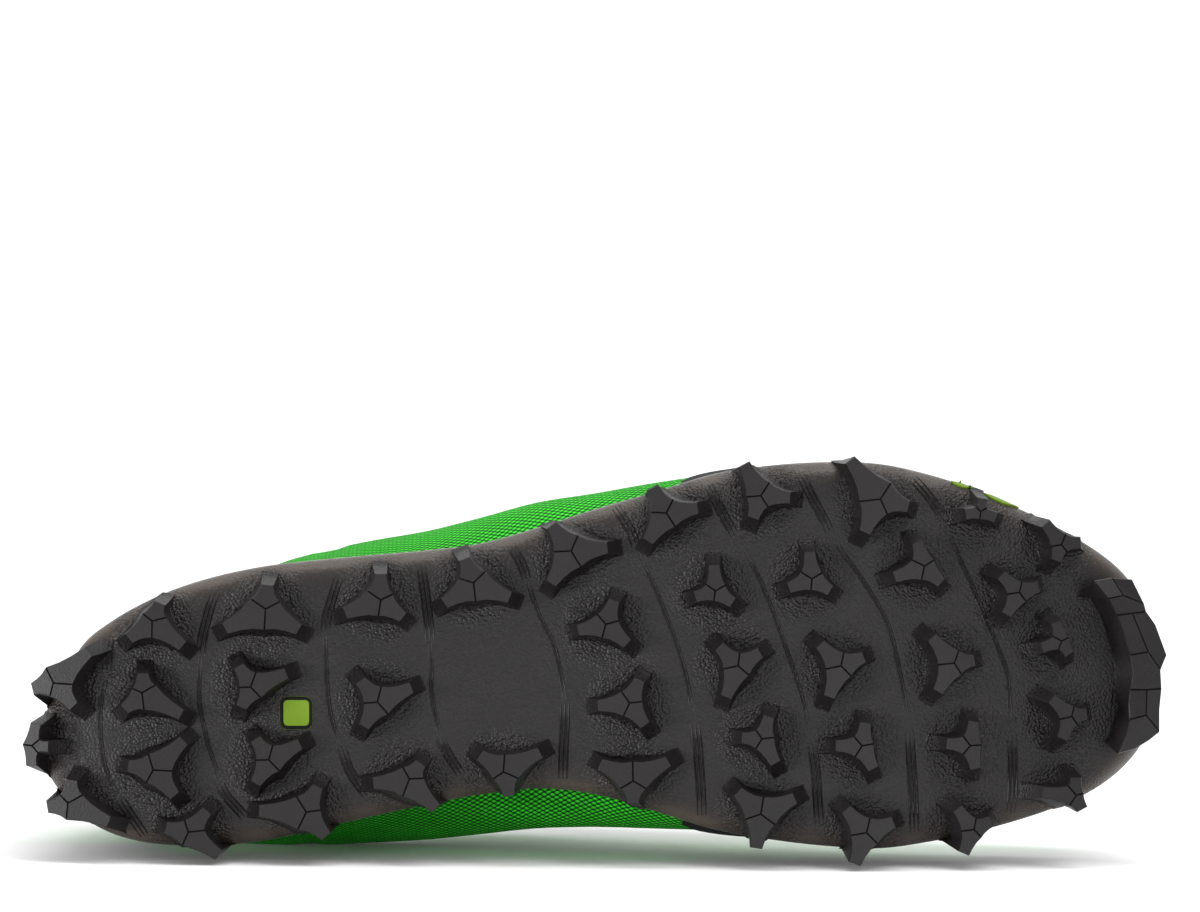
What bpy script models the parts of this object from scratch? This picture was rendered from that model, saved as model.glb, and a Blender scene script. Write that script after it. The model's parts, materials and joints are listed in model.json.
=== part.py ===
# Trail running shoe, right foot, lying on its medial side with the tread facing -Y.
# The shoe is modelled standing: X from heel to toe, Y towards the medial side, Z up from the lug tops.
# An empty then lays it down, so that the sole's edge and the upper both touch the floor.
import math

import bmesh
import bpy
import numpy as np
from mathutils import Matrix, Vector

# Driving sizes, in metres
SOLE_LENGTH = 0.292
BALL_WIDTH = 0.1005
HEEL_HEIGHT = 0.070        # back of the collar above the midsole
INSTEP_HEIGHT = 0.070      # top of the throat above the midsole
LUG_HEIGHT = 0.0078
LUG_REACH = 0.010          # a full arm of a lug, from its middle
LUG_ARM = 0.0032           # width of an arm's end
LUG_DRAFT = 0.0010         # how much wider a lug's foot is in its hollow sides
LUG_RAMP = 0.0022          # slope at an arm's end
LUG_WAIST = 0.50           # depth of the hollow sides, share of the arms
OUTSOLE_THICK = 0.0032
RIM_THICK = 0.0022
ROLL_WIDTH = 0.011         # the tread's edge turns up over this width
MIDSOLE_HEEL = 0.016
MIDSOLE_TOE = 0.008
TOE_SPRING = 0.020
HEEL_BEVEL = 0.004
ARCH_RISE = 0.002
FEATHER_INSET = 0.0044     # where the upper meets the sole, in from the sole's outline
UPPER_WALL = 0.0018
COLLAR_PAD = 0.0045        # extra thickness at the collar
OVERLAY_THICK = 0.0012
EYESTAY_WIDTH = 0.015
RAND_HEIGHT = 0.024        # at the toe, along the surface
COUNTER_HEIGHT = 0.034     # at the back of the heel, along the surface
INSOLE_THICK = 0.004
INSOLE_CLEAR = 0.002       # round the insole, to the upper
TONGUE_THICK = 0.004
TONGUE_RISE = 0.024        # how far the tongue stands out of the throat
TONGUE_CROWN = 0.0012      # its middle over the throat's edges
LACE_WIDTH = 0.006
LACE_THICK = 0.0013
LACE_ARCH = 0.0095         # rise of a crossing over its two eyelets
LACE_LIFT = 0.0008         # of a crossing's ends over the eyestay
LACE_FLATNESS = 4.6        # exponent of a crossing's arch: higher stays level for longer
LOOP_WIDTH = 0.010
LOOP_THICK = 0.0012
LOOP_REACH = 0.009
LOOP_CLEAR = 0.0024        # from the middle of the webbing to the curved collar
PLUG_SIZE = 0.0076
PLUG_DEPTH = 0.001
PLUG_PROUD = 0.0004        # the plug stands out of the tread's ground
BUMPER_FLARE = 1.03        # foot of the toe bumper against its top
GAP = 0.0003               # between pieces that touch

RIM_RISE = OUTSOLE_THICK + 0.75 * MIDSOLE_TOE

# Counts of the mesh
STATIONS = 30              # heel to toe
LOOP = 2 * STATIONS
LADDER = 5                 # cells across a face of the sole
LOW_ROWS, MID_ROWS, HIGH_ROWS = 4, 5, 3
ROWS = LOW_ROWS + MID_ROWS + HIGH_ROWS

# Sole outline. along: share of the sole's length. lateral, medial: share of the ball width.
SOLE_OUTLINE = [
    {"along": 0.000, "lateral": -0.205, "medial": -0.205},
    {"along": 0.016, "lateral": -0.088, "medial": -0.312},
    {"along": 0.041, "lateral": 0.042, "medial": -0.398},
    {"along": 0.077, "lateral": 0.122, "medial": -0.452},
    {"along": 0.133, "lateral": 0.198, "medial": -0.474},
    {"along": 0.200, "lateral": 0.246, "medial": -0.463},
    {"along": 0.280, "lateral": 0.272, "medial": -0.412},
    {"along": 0.350, "lateral": 0.290, "medial": -0.368},
    {"along": 0.420, "lateral": 0.322, "medial": -0.334},
    {"along": 0.470, "lateral": 0.372, "medial": -0.328},
    {"along": 0.540, "lateral": 0.430, "medial": -0.377},
    {"along": 0.600, "lateral": 0.484, "medial": -0.430},
    {"along": 0.680, "lateral": 0.514, "medial": -0.468},
    {"along": 0.750, "lateral": 0.513, "medial": -0.482},
    {"along": 0.820, "lateral": 0.464, "medial": -0.451},
    {"along": 0.880, "lateral": 0.392, "medial": -0.405},
    {"along": 0.940, "lateral": 0.290, "medial": -0.325},
    {"along": 0.975, "lateral": 0.190, "medial": -0.242},
    {"along": 0.990, "lateral": 0.115, "medial": -0.190},
    {"along": 1.000, "lateral": -0.040, "medial": -0.040},
]

# Widest line of the upper in plan, in the same shares.
UPPER_OUTLINE = [
    {"along": 0.008, "lateral": -0.200, "medial": -0.200},
    {"along": 0.022, "lateral": -0.098, "medial": -0.300},
    {"along": 0.050, "lateral": 0.045, "medial": -0.392},
    {"along": 0.090, "lateral": 0.120, "medial": -0.440},
    {"along": 0.150, "lateral": 0.198, "medial": -0.472},
    {"along": 0.220, "lateral": 0.270, "medial": -0.483},
    {"along": 0.300, "lateral": 0.325, "medial": -0.478},
    {"along": 0.370, "lateral": 0.362, "medial": -0.464},
    {"along": 0.430, "lateral": 0.412, "medial": -0.442},
    {"along": 0.500, "lateral": 0.445, "medial": -0.434},
    {"along": 0.560, "lateral": 0.474, "medial": -0.438},
    {"along": 0.620, "lateral": 0.494, "medial": -0.442},
    {"along": 0.700, "lateral": 0.492, "medial": -0.450},
    {"along": 0.780, "lateral": 0.460, "medial": -0.440},
    {"along": 0.850, "lateral": 0.398, "medial": -0.400},
    {"along": 0.910, "lateral": 0.305, "medial": -0.335},
    {"along": 0.955, "lateral": 0.205, "medial": -0.262},
    {"along": 0.975, "lateral": 0.115, "medial": -0.192},
    {"along": 0.983, "lateral": -0.040, "medial": -0.040},
]

# Sections of the upper, by where each starts at the sole. swell: height of the widest line, share of
# the instep height. top, lateral, medial: the topline's place. height: share of the instep height,
# or of the heel height behind the collar's lowest point. roof: 1 for a round dome, 0 for a straight side.
# low: height of the lower trim, share of the rand's height. pad: share of the collar's padding.
UPPER_SECTIONS = [
    {"foot": 0.00, "swell": 0.38, "top": 0.040, "lateral": -0.185, "medial": -0.185, "height": 1.00,
     "roof": 0.35, "low": 1.40, "pad": 0.7},
    {"foot": 0.02, "swell": 0.38, "top": 0.046, "lateral": -0.080, "medial": -0.275, "height": 0.985,
     "roof": 0.35, "low": 1.34, "pad": 0.8},
    {"foot": 0.06, "swell": 0.38, "top": 0.076, "lateral": 0.030, "medial": -0.352, "height": 0.90,
     "roof": 0.30, "low": 1.16, "pad": 1.0},
    {"foot": 0.12, "swell": 0.40, "top": 0.130, "lateral": 0.105, "medial": -0.388, "height": 0.76,
     "roof": 0.30, "low": 0.92, "pad": 1.0},
    {"foot": 0.20, "swell": 0.42, "top": 0.205, "lateral": 0.158, "medial": -0.384, "height": 0.70,
     "roof": 0.30, "low": 0.76, "pad": 1.0},
    {"foot": 0.28, "swell": 0.44, "top": 0.275, "lateral": 0.186, "medial": -0.342, "height": 0.77,
     "roof": 0.40, "low": 0.70, "pad": 0.9},
    {"foot": 0.36, "swell": 0.42, "top": 0.338, "lateral": 0.196, "medial": -0.275, "height": 0.93,
     "roof": 0.60, "low": 0.67, "pad": 0.5},
    {"foot": 0.42, "swell": 0.37, "top": 0.385, "lateral": 0.190, "medial": -0.210, "height": 1.00,
     "roof": 0.80, "low": 0.66, "pad": 0.2},
    {"foot": 0.50, "swell": 0.32, "top": 0.450, "lateral": 0.180, "medial": -0.162, "height": 0.88,
     "roof": 0.90, "low": 0.66, "pad": 0.0},
    {"foot": 0.60, "swell": 0.26, "top": 0.528, "lateral": 0.170, "medial": -0.132, "height": 0.735,
     "roof": 0.95, "low": 0.66, "pad": 0.0},
    {"foot": 0.70, "swell": 0.21, "top": 0.595, "lateral": 0.154, "medial": -0.110, "height": 0.62,
     "roof": 1.00, "low": 0.72, "pad": 0.0},
    {"foot": 0.80, "swell": 0.17, "top": 0.648, "lateral": 0.120, "medial": -0.078, "height": 0.545,
     "roof": 1.00, "low": 0.80, "pad": 0.0},
    {"foot": 0.88, "swell": 0.14, "top": 0.677, "lateral": 0.086, "medial": -0.044, "height": 0.510,
     "roof": 1.00, "low": 0.88, "pad": 0.0},
    {"foot": 0.95, "swell": 0.12, "top": 0.690, "lateral": 0.055, "medial": -0.014, "height": 0.497,
     "roof": 1.00, "low": 0.95, "pad": 0.0},
    {"foot": 1.00, "swell": 0.11, "top": 0.694, "lateral": 0.020, "medial": 0.020, "height": 0.492,
     "roof": 1.00, "low": 1.00, "pad": 0.0},
]

# Lugs of the tread. along, across: shares of length and ball width, across positive to the lateral side.
# Each arm: its direction in degrees, from the toe turning to the lateral side, and its share of the reach.
LUGS = [
    {"name": "heel_edge_upper", "along": 0.025, "across": -0.054, "arms": [(195, 0.61), (41, 1.25), (-49, 0.82)]},
    {"name": "heel_back", "along": 0.007, "across": -0.215, "arms": [(80, 0.58), (267, 0.52), (-3, 0.46)]},
    {"name": "heel_edge_lower", "along": 0.037, "across": -0.362, "arms": [(190, 0.58), (81, 0.62), (-24, 1.19)]},
    {"name": "heel_a1", "along": 0.107, "across": 0.105, "arms": [(67, 0.52), (217, 0.77), (-39, 1.03)]},
    {"name": "heel_a2", "along": 0.098, "across": -0.079, "arms": [(88, 0.52), (223, 0.64), (-29, 1.18)]},
    {"name": "heel_a3", "along": 0.108, "across": -0.277, "arms": [(171, 0.68), (44, 1.11), (-50, 0.88)]},
    {"name": "heel_a4", "along": 0.139, "across": -0.436, "arms": [(168, 0.61), (49, 0.75), (-37, 0.98)]},
    {"name": "heel_b1", "along": 0.207, "across": 0.136, "arms": [(85, 0.64), (206, 1.18), (-32, 1.03)]},
    {"name": "heel_b2", "along": 0.194, "across": -0.064, "arms": [(120, 0.64), (21, 1.00), (245, 0.60)]},
    {"name": "heel_b3", "along": 0.210, "across": -0.251, "arms": [(123, 0.66), (27, 0.92), (240, 0.72)]},
    {"name": "heel_b4", "along": 0.243, "across": -0.385, "arms": [(178, 1.24), (66, 0.74), (-50, 0.81)]},
    {"name": "waist_a1", "along": 0.307, "across": 0.159, "arms": [(90, 0.69), (201, 1.00), (-38, 0.75)]},
    {"name": "waist_a2", "along": 0.304, "across": -0.103, "arms": [(128, 0.73), (23, 0.98), (241, 0.74)]},
    {"name": "waist_a3", "along": 0.332, "across": -0.300, "arms": [(186, 0.96), (54, 0.52), (-48, 1.04)]},
    {"name": "waist_b1", "along": 0.390, "across": 0.203, "arms": [(111, 0.68), (215, 0.94), (-22, 1.03)]},
    {"name": "waist_b2", "along": 0.417, "across": -0.282, "arms": [(145, 0.77), (28, 1.09), (-76, 0.64)]},
    {"name": "waist_c1", "along": 0.478, "across": 0.285, "arms": [(128, 0.85), (5, 0.96), (238, 1.01)]},
    {"name": "waist_c2", "along": 0.509, "across": 0.097, "arms": [(71, 0.67), (192, 0.76), (-42, 0.77)]},
    {"name": "waist_c3", "along": 0.530, "across": -0.105, "arms": [(67, 0.67), (185, 0.85), (-55, 0.72)]},
    {"name": "waist_c4", "along": 0.533, "across": -0.305, "arms": [(153, 0.98), (29, 1.06), (270, 0.59)]},
    {"name": "ball_a1", "along": 0.562, "across": 0.382, "arms": [(118, 0.76), (9, 0.84), (237, 0.89)]},
    {"name": "ball_a2", "along": 0.604, "across": 0.182, "arms": [(93, 0.69), (196, 0.56), (-34, 0.56)]},
    {"name": "ball_a3", "along": 0.624, "across": -0.010, "arms": [(134, 0.72), (31, 0.69), (249, 0.88)]},
    {"name": "ball_a4", "along": 0.645, "across": -0.197, "arms": [(73, 0.62), (177, 0.54), (-61, 0.74)]},
    {"name": "ball_a5", "along": 0.644, "across": -0.390, "arms": [(136, 0.85), (25, 0.99), (262, 0.89)]},
    {"name": "ball_b1", "along": 0.644, "across": 0.426, "arms": [(118, 0.93), (-4, 0.78), (251, 0.63)]},
    {"name": "ball_b2", "along": 0.688, "across": 0.213, "arms": [(95, 0.72), (201, 0.66), (-32, 0.58)]},
    {"name": "ball_b3", "along": 0.713, "across": -0.010, "arms": [(134, 0.80), (21, 0.66), (249, 0.88)]},
    {"name": "ball_b4", "along": 0.731, "across": -0.215, "arms": [(81, 0.62), (180, 0.70), (-63, 0.69)]},
    {"name": "ball_b5", "along": 0.735, "across": -0.438, "arms": [(131, 0.82), (21, 0.78), (249, 0.86)]},
    {"name": "toe_a1", "along": 0.747, "across": 0.418, "arms": [(128, 1.28), (-15, 0.78), (245, 0.97)]},
    {"name": "toe_a2", "along": 0.785, "across": 0.246, "arms": [(106, 0.66), (200, 0.85), (-43, 0.64)]},
    {"name": "toe_a3", "along": 0.811, "across": -0.003, "arms": [(131, 0.90), (8, 0.57), (240, 0.87)]},
    {"name": "toe_a4", "along": 0.825, "across": -0.215, "arms": [(81, 0.65), (175, 0.65), (-76, 0.64)]},
    {"name": "toe_a5", "along": 0.828, "across": -0.431, "arms": [(128, 0.71), (25, 0.54), (247, 0.67)]},
    {"name": "toe_b1", "along": 0.834, "across": 0.387, "arms": [(190, 0.42), (-20, 0.46), (80, 0.36)]},
    {"name": "toe_b2", "along": 0.868, "across": 0.179, "arms": [(137, 0.68), (16, 0.56), (239, 0.69)]},
    {"name": "toe_b3", "along": 0.903, "across": 0.297, "arms": [(130, 0.59), (0, 0.98), (252, 0.41)]},
    {"name": "toe_c1", "along": 0.905, "across": 0.054, "arms": [(106, 0.52), (198, 0.57), (-57, 0.43)]},
    {"name": "toe_c2", "along": 0.914, "across": -0.141, "arms": [(139, 0.73), (10, 0.45), (246, 0.65)]},
    {"name": "toe_c3", "along": 0.918, "across": -0.344, "arms": [(175, 0.93), (90, 0.48), (-63, 0.42)]},
]

# Toe bumper: three lugs run together along the rim. Its outline in shares of length and ball width.
BUMPER = [
    (0.924, 0.215), (0.943, 0.164), (0.955, 0.110), (0.964, 0.045), (0.971, -0.030), (0.967, -0.110),
    (0.963, -0.190), (0.957, -0.238), (0.981, -0.228), (0.996, -0.186), (0.990, -0.150), (0.998, -0.075),
    (1.004, 0.018), (0.992, 0.062), (0.988, 0.120), (0.974, 0.208), (0.950, 0.245),
]
PLUG_PLACE = {"along": 0.233, "across": -0.131}

# Rows of the tongue beyond the throat: share of the way up, step, width against the row before
TONGUE_TIP = [(0.35, 0.35, 0.68), (0.70, 0.35, 0.96), (0.95, 0.25, 0.82)]

MATERIALS = {
    "outsole_rubber": ((0.040, 0.036, 0.036), 0.55),
    "midsole_foam": ((0.060, 0.055, 0.052), 0.80),
    "upper_weave": ((0.040, 0.520, 0.030), 0.75),
    "trim_black": ((0.018, 0.018, 0.019), 0.60),
    "lining": ((0.030, 0.030, 0.032), 0.90),
    "lace_cord": ((0.025, 0.025, 0.026), 0.85),
    "lime_plug": ((0.300, 0.550, 0.030), 0.45),
}
DENSITY = {"outsole_rubber": 1100, "midsole_foam": 200, "upper_weave": 500, "trim_black": 900,
           "lining": 300, "lace_cord": 700, "lime_plug": 1100}


def spline(places, values, query):
    """Smooth curve through the rows of a table."""
    places, values, query = (np.asarray(item, float) for item in (places, values, query))
    slopes = np.gradient(values, places)
    cell = np.clip(np.searchsorted(places, query, side="right") - 1, 0, len(places) - 2)
    width = places[cell + 1] - places[cell]
    t = (query - places[cell]) / width
    return (values[cell] * (1 + 2 * t) * (1 - t) ** 2 + slopes[cell] * width * t * (1 - t) ** 2
            + values[cell + 1] * t * t * (3 - 2 * t) + slopes[cell + 1] * width * t * t * (t - 1))


def smooth_step(low, high, value):
    t = min(max((value - low) / (high - low), 0.0), 1.0)
    return t * t * (3 - 2 * t)


def turn_of(shares):
    """Angle of a share on a half circle, which makes the ends of an outline round."""
    return np.arccos(np.clip(1 - 2 * np.asarray(shares, float), -1, 1))


TURNS = np.linspace(0, math.pi, STATIONS + 1)
FOOT_SHARES = (1 - np.cos(TURNS)) / 2


def outline_loop(rows):
    """Closed plan outline: heel tip, lateral side, toe tip, medial side."""
    first, last = rows[0]["along"], rows[-1]["along"]
    turns = turn_of([(row["along"] - first) / (last - first) for row in rows])
    along = (first + (last - first) * FOOT_SHARES) * SOLE_LENGTH
    lateral = -spline(turns, [row["lateral"] for row in rows], TURNS) * BALL_WIDTH
    medial = -spline(turns, [row["medial"] for row in rows], TURNS) * BALL_WIDTH
    out = [(along[k], lateral[k]) for k in range(STATIONS + 1)]
    back = [(along[k], medial[k]) for k in range(STATIONS - 1, 0, -1)]
    return np.array(out + back)


def section_loop(column):
    """A column of the upper's sections at every place of the loop."""
    turns = turn_of([row["foot"] for row in UPPER_SECTIONS])
    sides = [column, column] if isinstance(column, str) else column
    there, back = (spline(turns, [row[name] for row in UPPER_SECTIONS], TURNS) for name in sides)
    return np.concatenate([there, back[-2:0:-1]])


def outward(loop):
    """Outward normals of a plan loop that runs anticlockwise."""
    tangent = np.roll(loop, -1, axis=0) - np.roll(loop, 1, axis=0)
    tangent /= np.linalg.norm(tangent, axis=1)[:, None]
    return np.stack([tangent[:, 1], -tangent[:, 0]], axis=1)


SOLE_LOOP = outline_loop(SOLE_OUTLINE)
SOLE_OUT = outward(SOLE_LOOP)


def toe_lift(x):
    return TOE_SPRING * max(0.0, (x / SOLE_LENGTH - 0.64) / 0.36) ** 2


def tread_height(x):
    """Height of the tread's ground between the lugs, away from its edge."""
    share = x / SOLE_LENGTH
    heel = HEEL_BEVEL * max(0.0, 1 - share / 0.09) ** 2
    arch = ARCH_RISE * smooth_step(0.26, 0.40, share) * (1 - smooth_step(0.44, 0.60, share))
    return LUG_HEIGHT + toe_lift(x) + heel + arch


def footbed_height(x):
    """Top of the midsole."""
    share = x / SOLE_LENGTH
    foam = MIDSOLE_HEEL + (MIDSOLE_TOE - MIDSOLE_HEEL) * smooth_step(0.28, 0.66, share)
    return LUG_HEIGHT + OUTSOLE_THICK + foam + toe_lift(x)


# The tread's edge: inset as a share of the roll, rise as a share of the rim's height
ROLL = [(1.0, 0.0), (0.38, 0.07), (0.12, 0.28), (0.0, 0.64)]


def edge_distance(x, y):
    """Distance from the sole's outline, negative outside it."""
    point = np.array([x, y])
    start, end = SOLE_LOOP, np.roll(SOLE_LOOP, -1, axis=0)
    run = end - start
    t = np.clip(((point - start) * run).sum(1) / (run * run).sum(1), 0, 1)
    near = start + run * t[:, None]
    distance = np.linalg.norm(point - near, axis=1)
    k = int(distance.argmin())
    side = run[k][0] * (y - near[k][1]) - run[k][1] * (x - near[k][0])
    return distance[k] if side > 0 else -distance[k]


def tread_surface(x, y):
    """Height of the tread's ground with its edge turned up."""
    share = max(edge_distance(x, y), 0.0) / ROLL_WIDTH
    insets = [row[0] for row in reversed(ROLL)]
    rises = [row[1] for row in reversed(ROLL)]
    return tread_height(x) + RIM_RISE * float(np.interp(share, insets, rises))


def ring_at(bm, inset, height_at, extra=0.0):
    """A loop of vertices inside the sole's outline."""
    places = SOLE_LOOP - SOLE_OUT * inset
    return [bm.verts.new((x, y, height_at(x) + extra)) for x, y in places]


def skin(bm, ring, following):
    """Faces between two closed loops."""
    count = len(ring)
    for k in range(count):
        after = (k + 1) % count
        bm.faces.new((ring[k], ring[after], following[after], following[k]))


def ladder(bm, ring, height_at):
    """Closes a loop of the sole with cells that run across it."""
    rows = [[ring[0]]]
    for k in range(1, STATIONS):
        lateral, medial = ring[k], ring[LOOP - k]
        row = [lateral]
        for cell in range(1, LADDER):
            place = lateral.co.lerp(medial.co, cell / LADDER)
            row.append(bm.verts.new((place.x, place.y, height_at(place.x))))
        rows.append(row + [medial])
    rows.append([ring[STATIONS]])
    for near, far in zip(rows, rows[1:]):
        for cell in range(LADDER):
            if len(near) == 1:
                bm.faces.new((near[0], far[cell], far[cell + 1]))
            elif len(far) == 1:
                bm.faces.new((near[cell], far[0], near[cell + 1]))
            else:
                bm.faces.new((near[cell], far[cell], far[cell + 1], near[cell + 1]))


def material_for(name):
    colour, roughness = MATERIALS[name]
    material = bpy.data.materials.get(name) or bpy.data.materials.new(name)
    material.use_nodes = True
    shader = material.node_tree.nodes["Principled BSDF"]
    shader.inputs["Base Color"].default_value = (*colour, 1)
    shader.inputs["Roughness"].default_value = roughness
    shader.inputs["Metallic"].default_value = 0.0
    material.diffuse_color = (*colour, 1)
    return material


def place(name, bm, material, smooth=True):
    """Puts a finished mesh into the scene under the shoe's empty."""
    bmesh.ops.recalc_face_normals(bm, faces=bm.faces)
    mesh = bpy.data.meshes.new(name)
    bm.to_mesh(mesh)
    bm.free()
    if smooth:
        mesh.shade_smooth()
        mesh.set_sharp_from_angle(angle=math.radians(40))
    thing = bpy.data.objects.new(name, mesh)
    thing.data.materials.append(material_for(material))
    bpy.context.collection.objects.link(thing)
    return thing


def combine(target, others, operation):
    """Boolean of a piece with its cutters or additions, applied to its mesh."""
    for other in others:
        change = target.modifiers.new(operation.lower(), "BOOLEAN")
        change.operation = operation
        change.solver = "EXACT"
        change.use_self = operation == "UNION"
        change.object = other
    bpy.context.view_layer.update()
    result = bpy.data.meshes.new_from_object(target.evaluated_get(bpy.context.evaluated_depsgraph_get()))
    target.modifiers.clear()
    target.data = result
    for other in others:
        bpy.data.objects.remove(other, do_unlink=True)
    return target


def lug_outlines(lug, centre_x, centre_y):
    """Top and foot of a lug seen from above: three arms with hollow sides between them.
    An arm's end slopes down to the tread, except where it reaches the sole's edge."""
    arms = sorted(((-angle) % 360, share) for angle, share in lug["arms"])
    top, foot = [], []
    for (angle, share), (next_angle, next_share) in zip(arms, arms[1:] + arms[:1]):
        heading = Vector((math.cos(math.radians(angle)), math.sin(math.radians(angle))))
        side = Vector((-heading.y, heading.x)) * LUG_ARM / 2
        end = heading * share * LUG_REACH
        room = edge_distance(centre_x + end.x, centre_y + end.y)
        slope = heading * min(max(room, 0.3 * LUG_DRAFT), LUG_RAMP)
        top += [end - side, end + side]
        foot += [end + slope - side * 1.2, end + slope + side * 1.2]
        middle = math.radians(angle + ((next_angle - angle) % 360) / 2)
        hollow = Vector((math.cos(middle), math.sin(middle)))
        depth = LUG_WAIST * (share + next_share) / 2 * LUG_REACH
        top.append(hollow * depth)
        foot.append(hollow * (depth + LUG_DRAFT))
    return top, foot


def add_prism(bm, top, foot, centre_x, centre_y, hub, sink):
    """A block from a flat top, square to the tread there, down into the sole."""
    slope = (tread_height(centre_x + 0.001) - tread_height(centre_x - 0.001)) / 0.002
    normal = Vector((-slope, 0, 1)).normalized()
    base = Vector((centre_x, centre_y, tread_height(centre_x)))
    crown = base - normal * LUG_HEIGHT
    across = Vector((0, 1, 0))
    along = across.cross(normal)
    upper, lower = [], []
    for point in top:
        spot = crown + along * point.x + across * point.y
        upper.append(bm.verts.new(spot))
    for point in foot:
        spot = base + along * point.x + across * point.y
        sunk = tread_surface(spot.x, spot.y) + sink
        lower.append(bm.verts.new((spot.x, spot.y, sunk)))
    bm.faces.new(upper)
    skin(bm, upper, lower)
    if hub:
        hub_vertex = bm.verts.new((centre_x, centre_y, tread_surface(centre_x, centre_y) + sink))
        for k, vertex in enumerate(lower):
            bm.faces.new((lower[(k + 1) % len(lower)], vertex, hub_vertex))
    else:
        bm.faces.new(list(reversed(lower)))


def make_outsole():
    bm = bmesh.new()
    rings = [ring_at(bm, share * ROLL_WIDTH, tread_height, rise * RIM_RISE) for share, rise in ROLL]
    rings.append(ring_at(bm, 0.25 * RIM_THICK, tread_height, RIM_RISE))
    rings.append(ring_at(bm, 1.25 * RIM_THICK, tread_height, RIM_RISE))
    rings.append(ring_at(bm, 0.36 * ROLL_WIDTH, tread_height, OUTSOLE_THICK + 0.2 * RIM_RISE))
    rings.append(ring_at(bm, 0.80 * ROLL_WIDTH, tread_height, OUTSOLE_THICK))
    for near, far in zip(rings, rings[1:]):
        skin(bm, near, far)
    ladder(bm, rings[0], tread_height)
    ladder(bm, rings[-1], lambda x: tread_height(x) + OUTSOLE_THICK)
    outsole = place("outsole", bm, "outsole_rubber")

    bm = bmesh.new()
    for lug in LUGS:
        centre_x, centre_y = lug["along"] * SOLE_LENGTH, -lug["across"] * BALL_WIDTH
        top, foot = lug_outlines(lug, centre_x, centre_y)
        add_prism(bm, top, foot, centre_x, centre_y, True, 0.45 * OUTSOLE_THICK)
    corners = [Vector((along * SOLE_LENGTH, -across * BALL_WIDTH)) for along, across in BUMPER]
    middle = sum(corners, Vector((0, 0))) / len(corners)
    block = [corner - middle for corner in corners]
    add_prism(bm, block, [corner * BUMPER_FLARE for corner in block], middle.x, middle.y, False,
              0.12 * OUTSOLE_THICK)
    lugs = place("lug_blocks", bm, "outsole_rubber")
    combine(outsole, [lugs], "UNION")

    recess = place("recess_cutter", plug_block(PLUG_SIZE + 2 * GAP, PLUG_DEPTH + GAP, 0.002), "outsole_rubber")
    return combine(outsole, [recess], "DIFFERENCE")


def plug_block(size, depth, proud):
    """Rounded square block at the heel recess, from below the tread's ground up into it."""
    x, y = PLUG_PLACE["along"] * SOLE_LENGTH, -PLUG_PLACE["across"] * BALL_WIDTH
    ground = tread_height(x)
    bm = bmesh.new()
    bmesh.ops.create_cube(bm, size=1.0)
    bmesh.ops.scale(bm, vec=(size, size, depth + proud), verts=bm.verts)
    upright = [edge for edge in bm.edges if abs(edge.verts[0].co.z - edge.verts[1].co.z) > depth / 2]
    bmesh.ops.bevel(bm, geom=upright, offset=size * 0.22, offset_type="OFFSET", segments=3, profile=0.5,
                    affect="EDGES", material=-1)
    bmesh.ops.translate(bm, vec=(x, y, ground + (depth - proud) / 2), verts=bm.verts)
    return bm


def make_midsole():
    """Foam wedge that sits in the outsole's rim and carries the upper."""
    bm = bmesh.new()
    rim = RIM_RISE + GAP
    rings = [
        ring_at(bm, 0.80 * ROLL_WIDTH, tread_height, OUTSOLE_THICK + GAP),
        ring_at(bm, 0.36 * ROLL_WIDTH + GAP, tread_height, OUTSOLE_THICK + 0.2 * RIM_RISE + 1.3 * GAP),
        ring_at(bm, 1.25 * RIM_THICK + 1.4 * GAP, tread_height, rim),
        ring_at(bm, 0.5 * RIM_THICK, tread_height, rim),
        ring_at(bm, 0.7 * FEATHER_INSET, footbed_height),
        ring_at(bm, 0.80 * ROLL_WIDTH, footbed_height),
    ]
    for near, far in zip(rings, rings[1:]):
        skin(bm, near, far)
    ladder(bm, rings[0], lambda x: tread_height(x) + OUTSOLE_THICK + GAP)
    ladder(bm, rings[-1], footbed_height)
    return place("midsole", bm, "midsole_foam")


def make_insole():
    bm = bmesh.new()
    inset = FEATHER_INSET + UPPER_WALL + INSOLE_CLEAR
    low = ring_at(bm, inset, footbed_height, GAP)
    high = ring_at(bm, inset, footbed_height, GAP + INSOLE_THICK)
    skin(bm, low, high)
    ladder(bm, low, lambda x: footbed_height(x) + GAP)
    ladder(bm, high, lambda x: footbed_height(x) + GAP + INSOLE_THICK)
    return place("insole", bm, "lining")


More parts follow.
